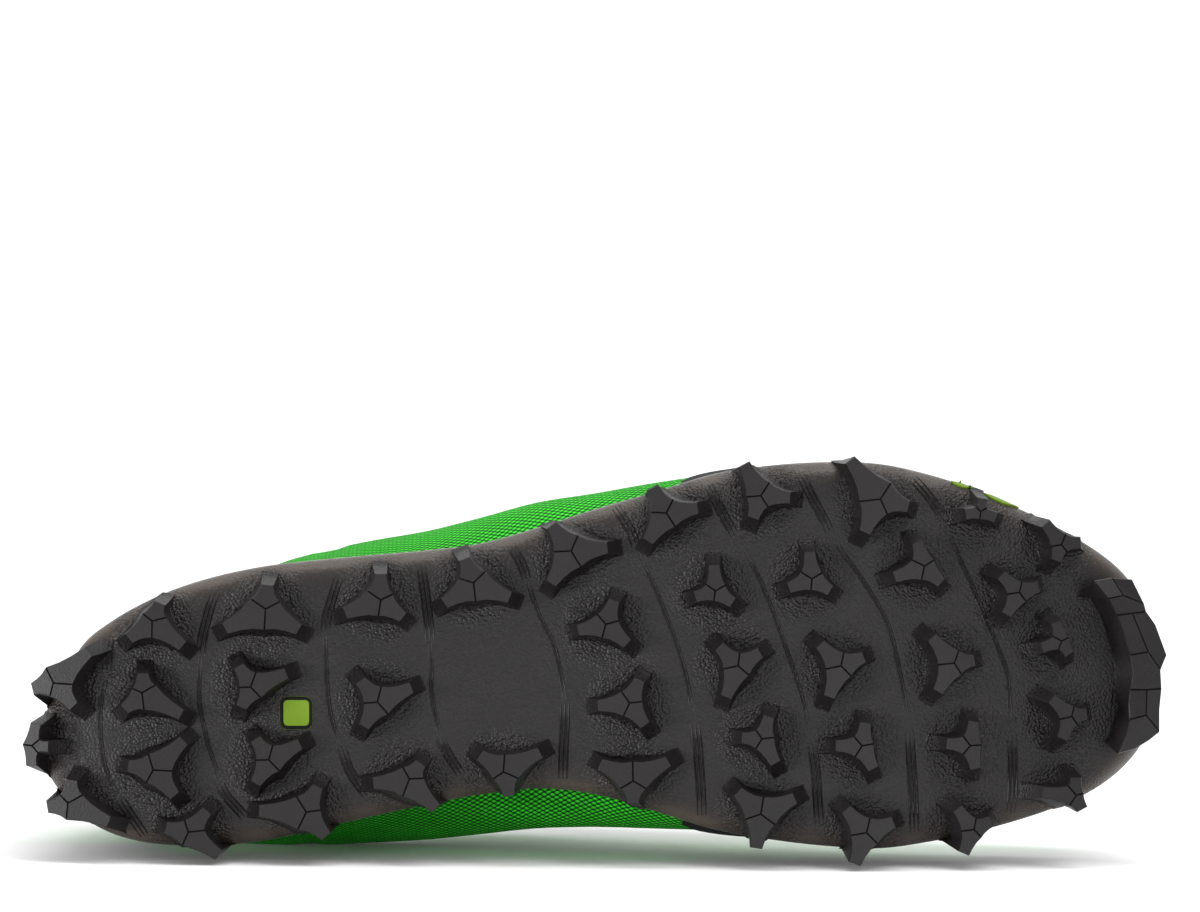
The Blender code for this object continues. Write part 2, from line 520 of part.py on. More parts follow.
def upper_rays():
    """The last's surface: for each place of the loop, points from the sole up to the topline."""
    feather = SOLE_LOOP - SOLE_OUT * FEATHER_INSET
    widest = outline_loop(UPPER_OUTLINE)
    swell = section_loop("swell") * INSTEP_HEIGHT
    top_x = section_loop("top") * SOLE_LENGTH
    top_y = -section_loop(("lateral", "medial")) * BALL_WIDTH
    share, roof = section_loop("height"), section_loop("roof")
    behind = np.array([1 - smooth_step(0.12, 0.36, x / SOLE_LENGTH) for x in top_x])
    top_z = share * (behind * HEEL_HEIGHT + (1 - behind) * INSTEP_HEIGHT)
    rays = []
    fine = 14
    for k in range(LOOP):
        foot = Vector((*feather[k], footbed_height(feather[k][0]) + GAP))
        wide = Vector((*widest[k], footbed_height(widest[k][0]) + swell[k]))
        rest = footbed_height(0) + top_z[k]
        crest = Vector((top_x[k], top_y[k], rest))
        points = []
        for step in range(fine):
            turn = step / fine * math.pi / 2
            flat = foot.xy.lerp(wide.xy, math.sin(turn))
            points.append(Vector((*flat, foot.z + (wide.z - foot.z) * step / fine)))
        for step in range(2 * fine + 1):
            t = step / (2 * fine)
            turn = t * math.pi / 2
            reach = roof[k] * (1 - math.cos(turn)) + (1 - roof[k]) * t * t * (3 - 2 * t)
            climb = roof[k] * math.sin(turn) + (1 - roof[k]) * t
            flat = wide.xy.lerp(crest.xy, reach)
            points.append(Vector((*flat, wide.z + (crest.z - wide.z) * climb)))
        rays.append(points)
    return rays


def upper_grid():
    """Surface points and outward normals, with rows at the trim's edge and the eyestay's edge."""
    low = section_loop("low") * RAND_HEIGHT
    heel = np.array([1 - smooth_step(0.0, 0.25, share) for share in FOOT_SHARES])
    heel = np.concatenate([heel, heel[-2:0:-1]])
    low *= heel * (COUNTER_HEIGHT / (1.4 * RAND_HEIGHT)) + (1 - heel)
    grid = np.zeros((LOOP, ROWS + 1, 3))
    for k, ray in enumerate(upper_rays()):
        points = np.array(ray)
        arc = np.concatenate([[0], np.cumsum(np.linalg.norm(np.diff(points, axis=0), axis=1))])
        breaks = [0, low[k], arc[-1] - EYESTAY_WIDTH, arc[-1]]
        stops = [0.0]
        for (start, end), rows in zip(zip(breaks, breaks[1:]), (LOW_ROWS, MID_ROWS, HIGH_ROWS)):
            stops += [start + (end - start) * (row + 1) / rows for row in range(rows)]
        for axis in range(3):
            grid[k, :, axis] = np.interp(stops, arc, points[:, axis])
    around = np.roll(grid, -1, axis=0) - np.roll(grid, 1, axis=0)
    rising = np.gradient(grid, axis=1)
    normals = np.cross(around, rising)
    normals[:, 0, 2] = 0
    normals /= np.linalg.norm(normals, axis=2)[:, :, None]
    return grid, normals


def offset_grid(grid, normals, lift):
    """The surface moved along its normals, its lowest row kept on the midsole."""
    sheet = grid + normals * lift
    for k in range(LOOP):
        sheet[k, 0, 2] = footbed_height(sheet[k, 0, 0]) + GAP
    return sheet


def make_upper(grid, normals):
    """One hollow wall, open at collar and throat and underneath."""
    pad = section_loop("pad") * COLLAR_PAD
    swellings = np.array([smooth_step(0.5, 0.9, row / ROWS) for row in range(ROWS + 1)])
    wall = UPPER_WALL + pad[:, None] * swellings[None, :]
    inside = offset_grid(grid, normals, -wall[:, :, None])
    rim = (grid[:, -1] + inside[:, -1]) / 2
    rim[:, 2] += 0.35 * wall[:, -1]
    bm = bmesh.new()
    outer = [[bm.verts.new(grid[k, row]) for k in range(LOOP)] for row in range(ROWS + 1)]
    inner = [[bm.verts.new(inside[k, row]) for k in range(LOOP)] for row in range(ROWS + 1)]
    crest = [bm.verts.new(point) for point in rim]
    for near, far in zip(outer, outer[1:]):
        skin(bm, near, far)
    skin(bm, outer[-1], crest)
    skin(bm, crest, inner[-1])
    for near, far in zip(inner, inner[1:]):
        skin(bm, far, near)
    skin(bm, inner[0], outer[0])
    return place("upper", bm, "upper_weave"), inside


def band(name, grid, normals, places, rows, material):
    """Trim laid on the upper, cut from the same surface."""
    bm = bmesh.new()
    sheets = []
    for lift in (GAP, GAP + OVERLAY_THICK):
        sheet = offset_grid(grid, normals, lift)
        sheets.append([[bm.verts.new(sheet[k % LOOP, row]) for row in rows] for k in places])
    for sheet in sheets:
        for near, far in zip(sheet, sheet[1:]):
            for cell in range(len(rows) - 1):
                bm.faces.new((near[cell], far[cell], far[cell + 1], near[cell + 1]))
    below, above = sheets
    border = [(k, 0) for k in range(len(places))]
    border += [(len(places) - 1, row) for row in range(1, len(rows))]
    border += [(k, len(rows) - 1) for k in range(len(places) - 2, -1, -1)]
    border += [(0, row) for row in range(len(rows) - 2, 0, -1)]
    skin(bm, [below[k][row] for k, row in border], [above[k][row] for k, row in border])
    return place(name, bm, material)


def station_at(share):
    """Nearest station of the loop to a share of the foot's length."""
    return int(abs(FOOT_SHARES - share).argmin())


def make_tongue(grid, inside, inward):
    """Padded tongue under the throat, from the vamp to above the top eyelets."""
    edge_row, side_row = ROWS, ROWS - HIGH_ROWS + 1
    rows = []
    for k in range(station_at(0.90), station_at(0.42) - 1, -1):
        row = []
        for side, station in ((1, k), (-1, LOOP - k)):
            under = inside[station] + inward[station] * 2.2 * GAP
            row.append([Vector(under[side_row]), Vector(under[edge_row])])
        (lat_low, lat_top), (med_low, med_top) = row
        crown = (lat_top + med_top) / 2 + Vector((0, 0, TONGUE_CROWN))
        near_lat, near_med = crown.lerp(lat_top, 0.6), crown.lerp(med_top, 0.6)
        rows.append([lat_low, lat_top, near_lat, crown, near_med, med_top, med_low])
    heading = (rows[-1][3] - rows[-3][3]).normalized()
    for share, step, narrow in TONGUE_TIP:
        lean = Vector((heading.x, 0, heading.z + 0.35 * share)).normalized()
        middle = rows[-1][3]
        rows.append([middle + lean * step * TONGUE_RISE + (point - middle) * narrow for point in rows[-1]])
    bm = bmesh.new()
    top = [[bm.verts.new(point) for point in row] for row in rows]
    bottom = []
    for number, row in enumerate(rows):
        before, after = rows[max(number - 1, 0)], rows[min(number + 1, len(rows) - 1)]
        line = []
        for cell, point in enumerate(row):
            across = row[min(cell + 1, 6)] - row[max(cell - 1, 0)]
            along = after[cell] - before[cell]
            down = along.cross(across).normalized()
            thick = TONGUE_THICK * (0.45 if cell in (0, 6) else 1.0)
            line.append(bm.verts.new(point + down * (thick if down.z < 0 else -thick)))
        bottom.append(line)
    for sheet in (top, bottom):
        for near, far in zip(sheet, sheet[1:]):
            for cell in range(6):
                bm.faces.new((near[cell], far[cell], far[cell + 1], near[cell + 1]))
    last = len(rows) - 1
    border = [(k, 0) for k in range(last + 1)] + [(last, cell) for cell in range(1, 7)]
    border += [(k, 6) for k in range(last - 1, -1, -1)] + [(0, cell) for cell in range(5, 0, -1)]
    skin(bm, [top[k][cell] for k, cell in border], [bottom[k][cell] for k, cell in border])
    return place("tongue", bm, "lining")


def strap(bm, centres, ups, width, thickness):
    """A flat band through a row of points."""
    loops = []
    for number, (centre, up) in enumerate(zip(centres, ups)):
        run = centres[min(number + 1, len(centres) - 1)] - centres[max(number - 1, 0)]
        side = run.cross(up).normalized() * width / 2
        rise = side.cross(run).normalized() * thickness / 2
        corners = (side + rise, side * -1 + rise, side * -1 - rise, side - rise)
        loops.append([bm.verts.new(centre + corner) for corner in corners])
    for near, far in zip(loops, loops[1:]):
        skin(bm, near, far)
    bm.faces.new(list(reversed(loops[0])))
    bm.faces.new(loops[-1])


def make_laces(grid, normals):
    """Crossed bars over the throat, joined where they meet; their ends stop at the top eyelets."""
    lift = 2 * GAP + OVERLAY_THICK + LACE_LIFT + LACE_THICK / 2
    row = ROWS - 2
    spots = []
    for k in range(station_at(0.90), station_at(0.42) - 1, -2):
        pair = [Vector(grid[s, row] + normals[s, row] * lift) for s in (k, LOOP - k)]
        spots.append(pair)
    runs = [[(spots[n][0], spots[n + 1][1]) for n in range(len(spots) - 1)],
            [(spots[n][1], spots[n + 1][0]) for n in range(len(spots) - 1)],
            [(spots[0][0], spots[0][1])]]
    objects = []
    for number, group in enumerate(runs):
        bm = bmesh.new()
        for start, end in group:
            centres, ups = [], []
            for step in range(7):
                t = step / 3 - 1
                arch = LACE_ARCH * (1 - abs(t) ** LACE_FLATNESS)
                centres.append(start.lerp(end, step / 6) + Vector((0, 0, arch)))
                ups.append(Vector((0, 0, 1)))
            strap(bm, centres, ups, LACE_WIDTH, LACE_THICK)
        objects.append(place("laces" if number == 0 else f"lace_group_{number}", bm, "lace_cord"))
    return combine(objects[0], objects[1:], "UNION")


def make_pull_loop(grid, normals, inside):
    """Webbing loop over the back of the collar."""
    outer = Vector(grid[0, ROWS - 2]) + Vector(normals[0, ROWS - 2]) * LOOP_CLEAR
    crest_out, crest_in = Vector(grid[0, ROWS]), Vector(inside[0, ROWS])
    inner = Vector(inside[0, ROWS - 2]) - Vector(normals[0, ROWS - 2]) * LOOP_CLEAR
    clear = LOOP_CLEAR
    centres = [outer, crest_out + Vector((-clear, 0, 0.001))]
    middle = (crest_out + crest_in) / 2
    half = (crest_in.x - crest_out.x) / 2 + clear
    for step in range(5):
        turn = math.pi * (1 - step / 4)
        height = LOOP_REACH * (0.45 + 0.55 * math.sin(turn))
        centres.append(middle + Vector((math.cos(turn) * half, 0, height)))
    centres += [crest_in + Vector((clear, 0, 0.001)), inner]
    ups = []
    for number in range(len(centres)):
        run = centres[min(number + 1, len(centres) - 1)] - centres[max(number - 1, 0)]
        ups.append(Vector((0, 1, 0)).cross(run).normalized())
    bm = bmesh.new()
    strap(bm, centres, ups, LOOP_WIDTH, LOOP_THICK)
    return place("pull_loop", bm, "trim_black")


def mass_centre(pieces):
    """Centre of mass from each piece's volume and density."""
    total, moment = 0.0, Vector((0, 0, 0))
    for piece in pieces:
        density = DENSITY[piece.data.materials[0].name]
        piece.data.calc_loop_triangles()
        vertices = piece.data.vertices
        for triangle in piece.data.loop_triangles:
            a, b, c = (vertices[v].co for v in triangle.vertices)
            volume = a.dot(b.cross(c)) / 6 * density
            total += volume
            moment += volume * (a + b + c) / 4
    return moment / total


def lying_pose(pieces):
    """Turns the shoe onto the flat that its medial side finds on a floor, under its centre of mass."""
    centre = mass_centre(pieces)
    hull = bmesh.new()
    for piece in pieces:
        for vertex in piece.data.vertices:
            if vertex.co.y > centre.y:
                hull.verts.new(vertex.co)
    for corner in ((0, 0), (1, 0), (0, 1), (1, 1)):
        hull.verts.new((corner[0] * SOLE_LENGTH, 0, corner[1] * HEEL_HEIGHT))
    bmesh.ops.convex_hull(hull, input=hull.verts)
    hull.normal_update()
    best, down = None, Vector((0, 1, 0))
    for face in hull.faces:
        if face.normal.y < 0.5:
            continue
        spot = centre + face.normal * (face.verts[0].co - centre).dot(face.normal)
        corners = [v.co for v in face.verts]
        room = min((b - a).cross(spot - a).dot(face.normal) / (b - a).length
                   for a, b in zip(corners, corners[1:] + corners[:1]))
        if best is None or room > best:
            best, down = room, face.normal.copy()
    hull.free()
    floor = -down
    toe = (Vector((1, 0, 0)) - floor * floor.x).normalized()
    away = floor.cross(toe)
    turn = Matrix((toe, away, floor)).to_4x4()
    corners = np.array([turn @ vertex.co for piece in pieces for vertex in piece.data.vertices])
    low, high = corners.min(axis=0), corners.max(axis=0)
    shift = Vector((-(low[0] + high[0]) / 2, -(low[1] + high[1]) / 2, -low[2]))
    return Matrix.Translation(shift) @ turn


def main():
    for thing in list(bpy.data.objects):
        bpy.data.objects.remove(thing, do_unlink=True)
    grid, normals = upper_grid()
    upper, inside = make_upper(grid, normals)
    toe_start, heel_end = station_at(0.61), station_at(0.11)
    low_rows, high_rows = range(LOW_ROWS + 1), range(ROWS - HIGH_ROWS, ROWS + 1)
    throat = station_at(0.40)
    pieces = [
        make_outsole(),
        make_midsole(),
        make_insole(),
        upper,
        band("toe_rand", grid, normals, range(toe_start, LOOP - toe_start + 1), low_rows, "trim_black"),
        band("heel_counter", grid, normals, range(-heel_end, heel_end + 1), low_rows, "trim_black"),
        band("eyestay", grid, normals, range(throat, LOOP - throat + 1), high_rows, "trim_black"),
        make_tongue(grid, inside, -normals),
        make_laces(grid, normals),
        make_pull_loop(grid, normals, inside),
        place("heel_plug", plug_block(PLUG_SIZE, PLUG_DEPTH, PLUG_PROUD), "lime_plug"),
    ]
    shoe = bpy.data.objects.new("shoe", None)
    bpy.context.collection.objects.link(shoe)
    for piece in pieces:
        piece.parent = shoe
    shoe.matrix_world = lying_pose(pieces)
    bpy.context.view_layer.update()


main()
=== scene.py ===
# Looks of a trail running shoe: right foot, lying on its medial side, tread towards the camera.
# Shapes are worked out in the shoe's own frame, x heel to toe, y to the medial side and z up from
# the lug tops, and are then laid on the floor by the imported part's mounts.
import json
import math

import bmesh
import bpy
import numpy as np
from mathutils import Matrix, Vector
from mathutils.bvhtree import BVHTree


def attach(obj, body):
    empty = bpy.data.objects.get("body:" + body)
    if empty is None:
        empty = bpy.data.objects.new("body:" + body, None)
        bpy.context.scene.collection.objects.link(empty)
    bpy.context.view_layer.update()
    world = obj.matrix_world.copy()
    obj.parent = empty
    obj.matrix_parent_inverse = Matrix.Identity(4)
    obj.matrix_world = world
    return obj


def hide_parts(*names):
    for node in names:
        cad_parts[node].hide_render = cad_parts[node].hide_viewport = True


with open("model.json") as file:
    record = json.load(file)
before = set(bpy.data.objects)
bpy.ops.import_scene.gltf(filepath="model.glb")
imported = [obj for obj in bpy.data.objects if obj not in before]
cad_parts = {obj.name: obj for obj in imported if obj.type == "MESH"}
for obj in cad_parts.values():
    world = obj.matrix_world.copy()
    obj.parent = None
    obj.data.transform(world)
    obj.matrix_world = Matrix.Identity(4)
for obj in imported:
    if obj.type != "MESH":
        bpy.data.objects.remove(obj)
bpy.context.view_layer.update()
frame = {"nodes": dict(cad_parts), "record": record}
mounts = {mount["name"]: mount for mount in frame["record"]["mounts"]}
print("frame loaded")

mm = 0.001
weld = {"fine": 0.004 * mm, "coarse": 0.01 * mm}         # vertices closer than this are joined
shoe = {
    "length": 292 * mm, "ballWidth": 100.5 * mm, "heelHeight": 70 * mm, "instepHeight": 70 * mm,
    "toeSpring": 20 * mm, "heelBevel": 4 * mm, "archRise": 2 * mm, "gap": 0.3 * mm,
    "heelLug": (0.194, -0.064), "ballLug": (0.624, -0.010),   # where the two tread mounts sit
}


def planPoint(along, across, height=0.0):
    # shares of length and ball width; across is positive to the lateral side
    return Vector((along * shoe["length"], -across * shoe["ballWidth"], height))


def layOnFloor():
    heel, ball = (Vector(mounts[name]["pos_m"]) for name in ("tread_heel", "tread_ball"))
    up = -Vector(mounts["tread_heel"]["axis"])
    flat = planPoint(*shoe["ballLug"]) - planPoint(*shoe["heelLug"])
    forward = Matrix.Rotation(-math.atan2(flat.y, flat.x), 3, up) @ (ball - heel).normalized()
    turn = Matrix((forward, up.cross(forward), up)).transposed()
    return Matrix.Translation(heel - turn @ planPoint(*shoe["heelLug"])) @ turn.to_4x4()


toFloor = layOnFloor()


# curves
def spline(places, values, query):
    places, values, query = (np.asarray(item, float) for item in (places, values, query))
    slopes = np.gradient(values, places)
    cell = np.clip(np.searchsorted(places, query, side="right") - 1, 0, len(places) - 2)
    width = places[cell + 1] - places[cell]
    t = (query - places[cell]) / width
    return (values[cell] * (1 + 2 * t) * (1 - t) ** 2 + slopes[cell] * width * t * (1 - t) ** 2
            + values[cell + 1] * t * t * (3 - 2 * t) + slopes[cell + 1] * width * t * t * (t - 1))


def smoothStep(low, high, value):
    t = np.clip((value - low) / (high - low), 0.0, 1.0)
    return t * t * (3 - 2 * t)


def turnOf(shares):
    return np.arccos(np.clip(1 - 2 * np.asarray(shares, float), -1, 1))


stations = 30                   # heel to toe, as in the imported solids
pathSplit = 12                  # steps of a smooth path between two of its points
turns = np.linspace(0, math.pi, stations + 1)
footShares = (1 - np.cos(turns)) / 2


def planLoop(table):
    # heel tip, lateral side, toe tip, medial side
    first, last = table["along"][0], table["along"][-1]
    rows = turnOf((np.array(table["along"]) - first) / (last - first))
    along = (first + (last - first) * footShares) * shoe["length"]
    sides = [-spline(rows, table[side], turns) * shoe["ballWidth"] for side in ("lateral", "medial")]
    there, back = (np.stack([along, side], axis=1) for side in sides)
    return np.concatenate([there, back[-2:0:-1]])


def between(p0, p1, p2, p3, t):
    # Catmull-Rom curve from p1 to p2
    return 0.5 * (2 * p1 + (p2 - p0) * t + (2 * p0 - 5 * p1 + 4 * p2 - p3) * t * t
                  + (3 * p1 - p0 - 3 * p2 + p3) * t ** 3)


def refine(loop, factor):
    # closed smooth curve through the rows of an array
    rows = [np.roll(loop, shift, axis=0) for shift in (1, 0, -1, -2)]
    out = [between(*rows, step / factor) for step in range(factor)]
    return np.stack(out, axis=1).reshape(len(loop) * factor, *loop.shape[1:])


def alongPath(points, count):
    # open smooth path through points, evenly spaced
    points = [Vector(point) for point in points]
    ends = [points[0] * 2 - points[1]] + points + [points[-1] * 2 - points[-2]]
    fine = [between(*four, step / pathSplit) for four in zip(ends, ends[1:], ends[2:], ends[3:])
            for step in range(pathSplit)]
    fine = np.array([tuple(point) for point in fine + [points[-1]]])
    arc = np.concatenate([[0], np.cumsum(np.linalg.norm(np.diff(fine, axis=0), axis=1))])
    stops = np.linspace(0, arc[-1], count)
    return [Vector(row) for row in np.stack([np.interp(stops, arc, axis) for axis in fine.T], axis=1)]


# Outlines in shares of length and ball width. The sole's two corners at the toe are up to 4 mm wider
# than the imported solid's, for a rounder toe.
soleOutline = {
    "along": [0.000, 0.016, 0.041, 0.077, 0.133, 0.200, 0.280, 0.350, 0.420, 0.470, 0.540, 0.600,
              0.680, 0.750, 0.820, 0.880, 0.940, 0.975, 0.990, 1.000],
    "lateral": [-0.205, -0.088, 0.042, 0.122, 0.198, 0.246, 0.272, 0.290, 0.322, 0.372, 0.430, 0.484,
                0.514, 0.513, 0.464, 0.394, 0.303, 0.222, 0.146, -0.040],
    "medial": [-0.205, -0.312, -0.398, -0.452, -0.474, -0.463, -0.412, -0.368, -0.334, -0.328, -0.377,
               -0.430, -0.468, -0.482, -0.451, -0.407, -0.340, -0.265, -0.205, -0.040],
}
upperOutline = {
    "along": [0.008, 0.022, 0.050, 0.090, 0.150, 0.220, 0.300, 0.370, 0.430, 0.500, 0.560, 0.620,
              0.700, 0.780, 0.850, 0.910, 0.955, 0.975, 0.983],
    "lateral": [-0.200, -0.098, 0.045, 0.120, 0.198, 0.270, 0.325, 0.362, 0.412, 0.445, 0.474, 0.494,
                0.492, 0.460, 0.398, 0.305, 0.205, 0.115, -0.040],
    "medial": [-0.200, -0.300, -0.392, -0.440, -0.472, -0.483, -0.478, -0.464, -0.442, -0.434, -0.438,
               -0.442, -0.450, -0.440, -0.400, -0.335, -0.262, -0.192, -0.040],
}
# Sections of the upper by where they start at the sole. swell: height of the widest line. top,
# lateral, medial: the topline's place. low: height of the lower trim. All are shares.
upperSections = {
    "foot": [0.00, 0.02, 0.06, 0.12, 0.20, 0.28, 0.36, 0.42, 0.50, 0.60, 0.70, 0.80, 0.88, 0.95, 1.00],
    "swell": [0.38, 0.38, 0.38, 0.40, 0.42, 0.44, 0.42, 0.37, 0.32, 0.26, 0.21, 0.17, 0.14, 0.12, 0.11],
    "top": [0.040, 0.046, 0.076, 0.130, 0.205, 0.275, 0.338, 0.385, 0.450, 0.528, 0.595, 0.648, 0.677,
            0.690, 0.694],
    "lateral": [-0.185, -0.080, 0.030, 0.105, 0.158, 0.186, 0.196, 0.190, 0.180, 0.170, 0.154, 0.120,
                0.086, 0.055, 0.020],
    "medial": [-0.185, -0.275, -0.352, -0.388, -0.384, -0.342, -0.275, -0.210, -0.162, -0.132, -0.110,
               -0.078, -0.044, -0.014, 0.020],
    "height": [1.00, 0.985, 0.90, 0.76, 0.70, 0.77, 0.93, 1.00, 0.88, 0.735, 0.62, 0.545, 0.510, 0.497,
               0.492],
    "roof": [0.35, 0.35, 0.30, 0.30, 0.30, 0.40, 0.60, 0.80, 0.90, 0.95, 1.00, 1.00, 1.00, 1.00, 1.00],
    "low": [1.40, 1.34, 1.16, 0.92, 0.76, 0.70, 0.67, 0.66, 0.66, 0.66, 0.72, 0.80, 0.88, 0.95, 1.00],
    "pad": [0.7, 0.8, 1.0, 1.0, 1.0, 0.9, 0.5, 0.2, 0.0, 0.0, 0.0, 0.0, 0.0, 0.0, 0.0],
}


def sectionLoop(lateral, medial=None):
    rows = turnOf(upperSections["foot"])
    there, back = (spline(rows, upperSections[name], turns) for name in (lateral, medial or lateral))
    return np.concatenate([there, back[-2:0:-1]])


# heights of the sole
sole = {
    "lugHeight": 7.8 * mm, "skin": 3.2 * mm, "rim": 2.2 * mm, "roll": 11 * mm,
    "foamHeel": 16 * mm, "foamToe": 8 * mm, "featherInset": 4.4 * mm,
}
sole["rimRise"] = sole["skin"] + 0.75 * sole["foamToe"]


def treadHeight(x):
    share = x / shoe["length"]
    toe = shoe["toeSpring"] * max(0.0, (share - 0.64) / 0.36) ** 2
    heel = shoe["heelBevel"] * max(0.0, 1 - share / 0.09) ** 2
    arch = shoe["archRise"] * smoothStep(0.26, 0.40, share) * (1 - smoothStep(0.44, 0.60, share))
    return sole["lugHeight"] + toe + heel + float(arch)


def footbedHeight(x):
    share = x / shoe["length"]
    foam = sole["foamHeel"] + (sole["foamToe"] - sole["foamHeel"]) * float(smoothStep(0.28, 0.66, share))
    toe = shoe["toeSpring"] * max(0.0, (share - 0.64) / 0.36) ** 2
    return sole["lugHeight"] + sole["skin"] + foam + toe


soleLoop = planLoop(soleOutline)
tangents = np.roll(soleLoop, -1, axis=0) - np.roll(soleLoop, 1, axis=0)
tangents /= np.linalg.norm(tangents, axis=1)[:, None]
soleOut = np.stack([tangents[:, 1], -tangents[:, 0]], axis=1)


# the upper's surface: rays from the sole up over the widest line to the topline
upperWall = {"wall": 1.8 * mm, "collarPad": 4.5 * mm, "raySplit": 4, "sideRows": 14, "roofRows": 29,
             "trimHeight": 24 * mm, "counterHeight": 34 * mm}


def makeRays():
    feather = soleLoop - soleOut * sole["featherInset"]
    widest = planLoop(upperOutline)
    swell = sectionLoop("swell") * shoe["instepHeight"]
    topX = sectionLoop("top") * shoe["length"]
    topY = -sectionLoop("lateral", "medial") * shoe["ballWidth"]
    roof, share = sectionLoop("roof"), sectionLoop("height")
    behind = 1 - smoothStep(0.12, 0.36, topX / shoe["length"])
    topZ = footbedHeight(0) + share * (behind * shoe["heelHeight"] + (1 - behind) * shoe["instepHeight"])
    rays = []
    for k in range(2 * stations):
        foot = np.array([*feather[k], footbedHeight(feather[k][0]) + shoe["gap"]])
        wide = np.array([*widest[k], footbedHeight(widest[k][0]) + swell[k]])
        crest = np.array([topX[k], topY[k], topZ[k]])
        points = []
        for t in np.arange(upperWall["sideRows"]) / upperWall["sideRows"]:
            flat = foot[:2] + (wide[:2] - foot[:2]) * math.sin(t * math.pi / 2)
            points.append([*flat, foot[2] + (wide[2] - foot[2]) * t])
        for t in np.linspace(0, 1, upperWall["roofRows"]):
            turn = t * math.pi / 2
            reach = roof[k] * (1 - math.cos(turn)) + (1 - roof[k]) * t * t * (3 - 2 * t)
            climb = roof[k] * math.sin(turn) + (1 - roof[k]) * t
            flat = wide[:2] + (crest[:2] - wide[:2]) * reach
            points.append([*flat, wide[2] + (crest[2] - wide[2]) * climb])
        rays.append(points)
    return refine(np.array(rays), upperWall["raySplit"])


rays = makeRays()
rayCount = len(rays)
rayArcs = np.cumsum(np.linalg.norm(np.diff(rays, axis=1, prepend=rays[:, :1]), axis=2), axis=1)
rayNormals = np.cross(np.roll(rays, -1, axis=0) - np.roll(rays, 1, axis=0), np.gradient(rays, axis=1))
rayNormals[:, 0, 2] = 0
rayNormals /= np.linalg.norm(rayNormals, axis=2)[:, :, None]
widestRow = rays[:, upperWall["sideRows"], :2]
girthSteps = np.linalg.norm(np.roll(widestRow, -1, axis=0) - widestRow, axis=1)
girth = np.concatenate([[0], np.cumsum(girthSteps)])
heelRows = 1 - smoothStep(0.0, 0.25, footShares)
heelRows = np.concatenate([heelRows, heelRows[-2:0:-1]])
counterShare = upperWall["counterHeight"] / (upperSections["low"][0] * upperWall["trimHeight"])
trimHeight = sectionLoop("low") * upperWall["trimHeight"] * (heelRows * counterShare + 1 - heelRows)
padShare = sectionLoop("pad")

# flex creases of a shoe that has been tried on: along share, depth, half width, lean
creases = [(0.655, 0.55 * mm, 2.6 * mm, 0.10), (0.690, 0.75 * mm, 3.0 * mm, 0.04),
           (0.728, 0.50 * mm, 2.6 * mm, -0.06), (0.300, 0.45 * mm, 3.4 * mm, 0.35),
           (0.250, 0.35 * mm, 3.0 * mm, 0.50)]
creaseForm = {"dip": 1.6, "swell": 0.6, "spread": 5, "slant": 0.25, "middle": 50 * mm,
              "starts": (0.25, 0.5), "ends": (0.82, 0.95)}


def creaseDepth(x, y, z, share):
    depth = 0.0
    form = creaseForm
    for along, deep, half, lean in creases:
        slant = lean * abs(y) + form["slant"] * (z - form["middle"])
        away = (x - along * shoe["length"] + slant) / half
        fall = -away * away
        depth += deep * (form["dip"] * math.exp(fall) - form["swell"] * math.exp(fall / form["spread"]))
    return depth * float(smoothStep(*form["starts"], share) * (1 - smoothStep(*form["ends"], share)))


def loopValue(values, place):
    spot = (place % 2.0) / 2 * len(values)
    return float(np.interp(spot, np.arange(len(values) + 1), [*values, values[0]]))


def topArc(place):
    return loopValue(rayArcs[:, -1], place)


def girthAt(place):
    return float(np.interp(place / 2 * rayCount, np.arange(rayCount + 1), girth))


def onUpper(place, climb, lift=0.0):
    # place: 0 heel tip, 0 to 1 lateral side, 1 toe tip, 1 to 2 medial side. climb: metres up the surface.
    spot = (place % 2.0) / 2 * rayCount
    near = int(spot) % rayCount
    share = spot - int(spot)
    point, normal = np.zeros(3), np.zeros(3)
    for ray, weight in ((near, 1 - share), ((near + 1) % rayCount, share)):
        for axis in range(3):
            point[axis] += weight * np.interp(climb, rayArcs[ray], rays[ray, :, axis])
            normal[axis] += weight * np.interp(climb, rayArcs[ray], rayNormals[ray, :, axis])
    normal /= np.linalg.norm(normal)
    lift = lift - creaseDepth(*point, climb / rayArcs[near, -1])
    point = point + normal * lift
    if climb <= 0:
        point[2] = footbedHeight(point[0]) + shoe["gap"]
    return Vector(point)


# mesh helpers
def makeSheet(bm, columns, rows, place, uvOf=None):
    # a grid whose corners are put where place(share, share) says
    uvLayer = bm.loops.layers.uv.verify()
    verts = bmesh.ops.create_grid(bm, x_segments=columns, y_segments=rows, size=1.0)["verts"]
    shares = {vert: ((vert.co.x + 1) / 2, (vert.co.y + 1) / 2) for vert in verts}
    for face in {face for vert in verts for face in vert.link_faces}:
        face.smooth = True
        for loop in face.loops:
            loop[uvLayer].uv = uvOf(*shares[loop.vert]) if uvOf else shares[loop.vert]
    for vert in verts:
        vert.co = place(*shares[vert])
    return verts


def makeObject(name, bm, materials):
    mesh = bpy.data.meshes.new(name)
    bm.to_mesh(mesh)
    bm.free()
    mesh.shade_smooth()
    for material in materials:
        mesh.materials.append(material)
    made = bpy.data.objects.new(name, mesh)
    bpy.context.collection.objects.link(made)
    return made


def finishPiece(name, bm, materials, stands=(), sharp=40, recalc=False, merge=True):
    # stands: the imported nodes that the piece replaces. sharp: degrees from which an edge stays hard.
    if merge:
        bmesh.ops.remove_doubles(bm, verts=bm.verts, dist=weld["fine"])
    if recalc:
        bmesh.ops.recalc_face_normals(bm, faces=bm.faces)
    bm.transform(toFloor)
    piece = makeObject(name, bm, materials)
    piece.data.set_sharp_from_angle(angle=math.radians(sharp))
    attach(piece, "root")
    if stands:
        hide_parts(*stands)
    return piece


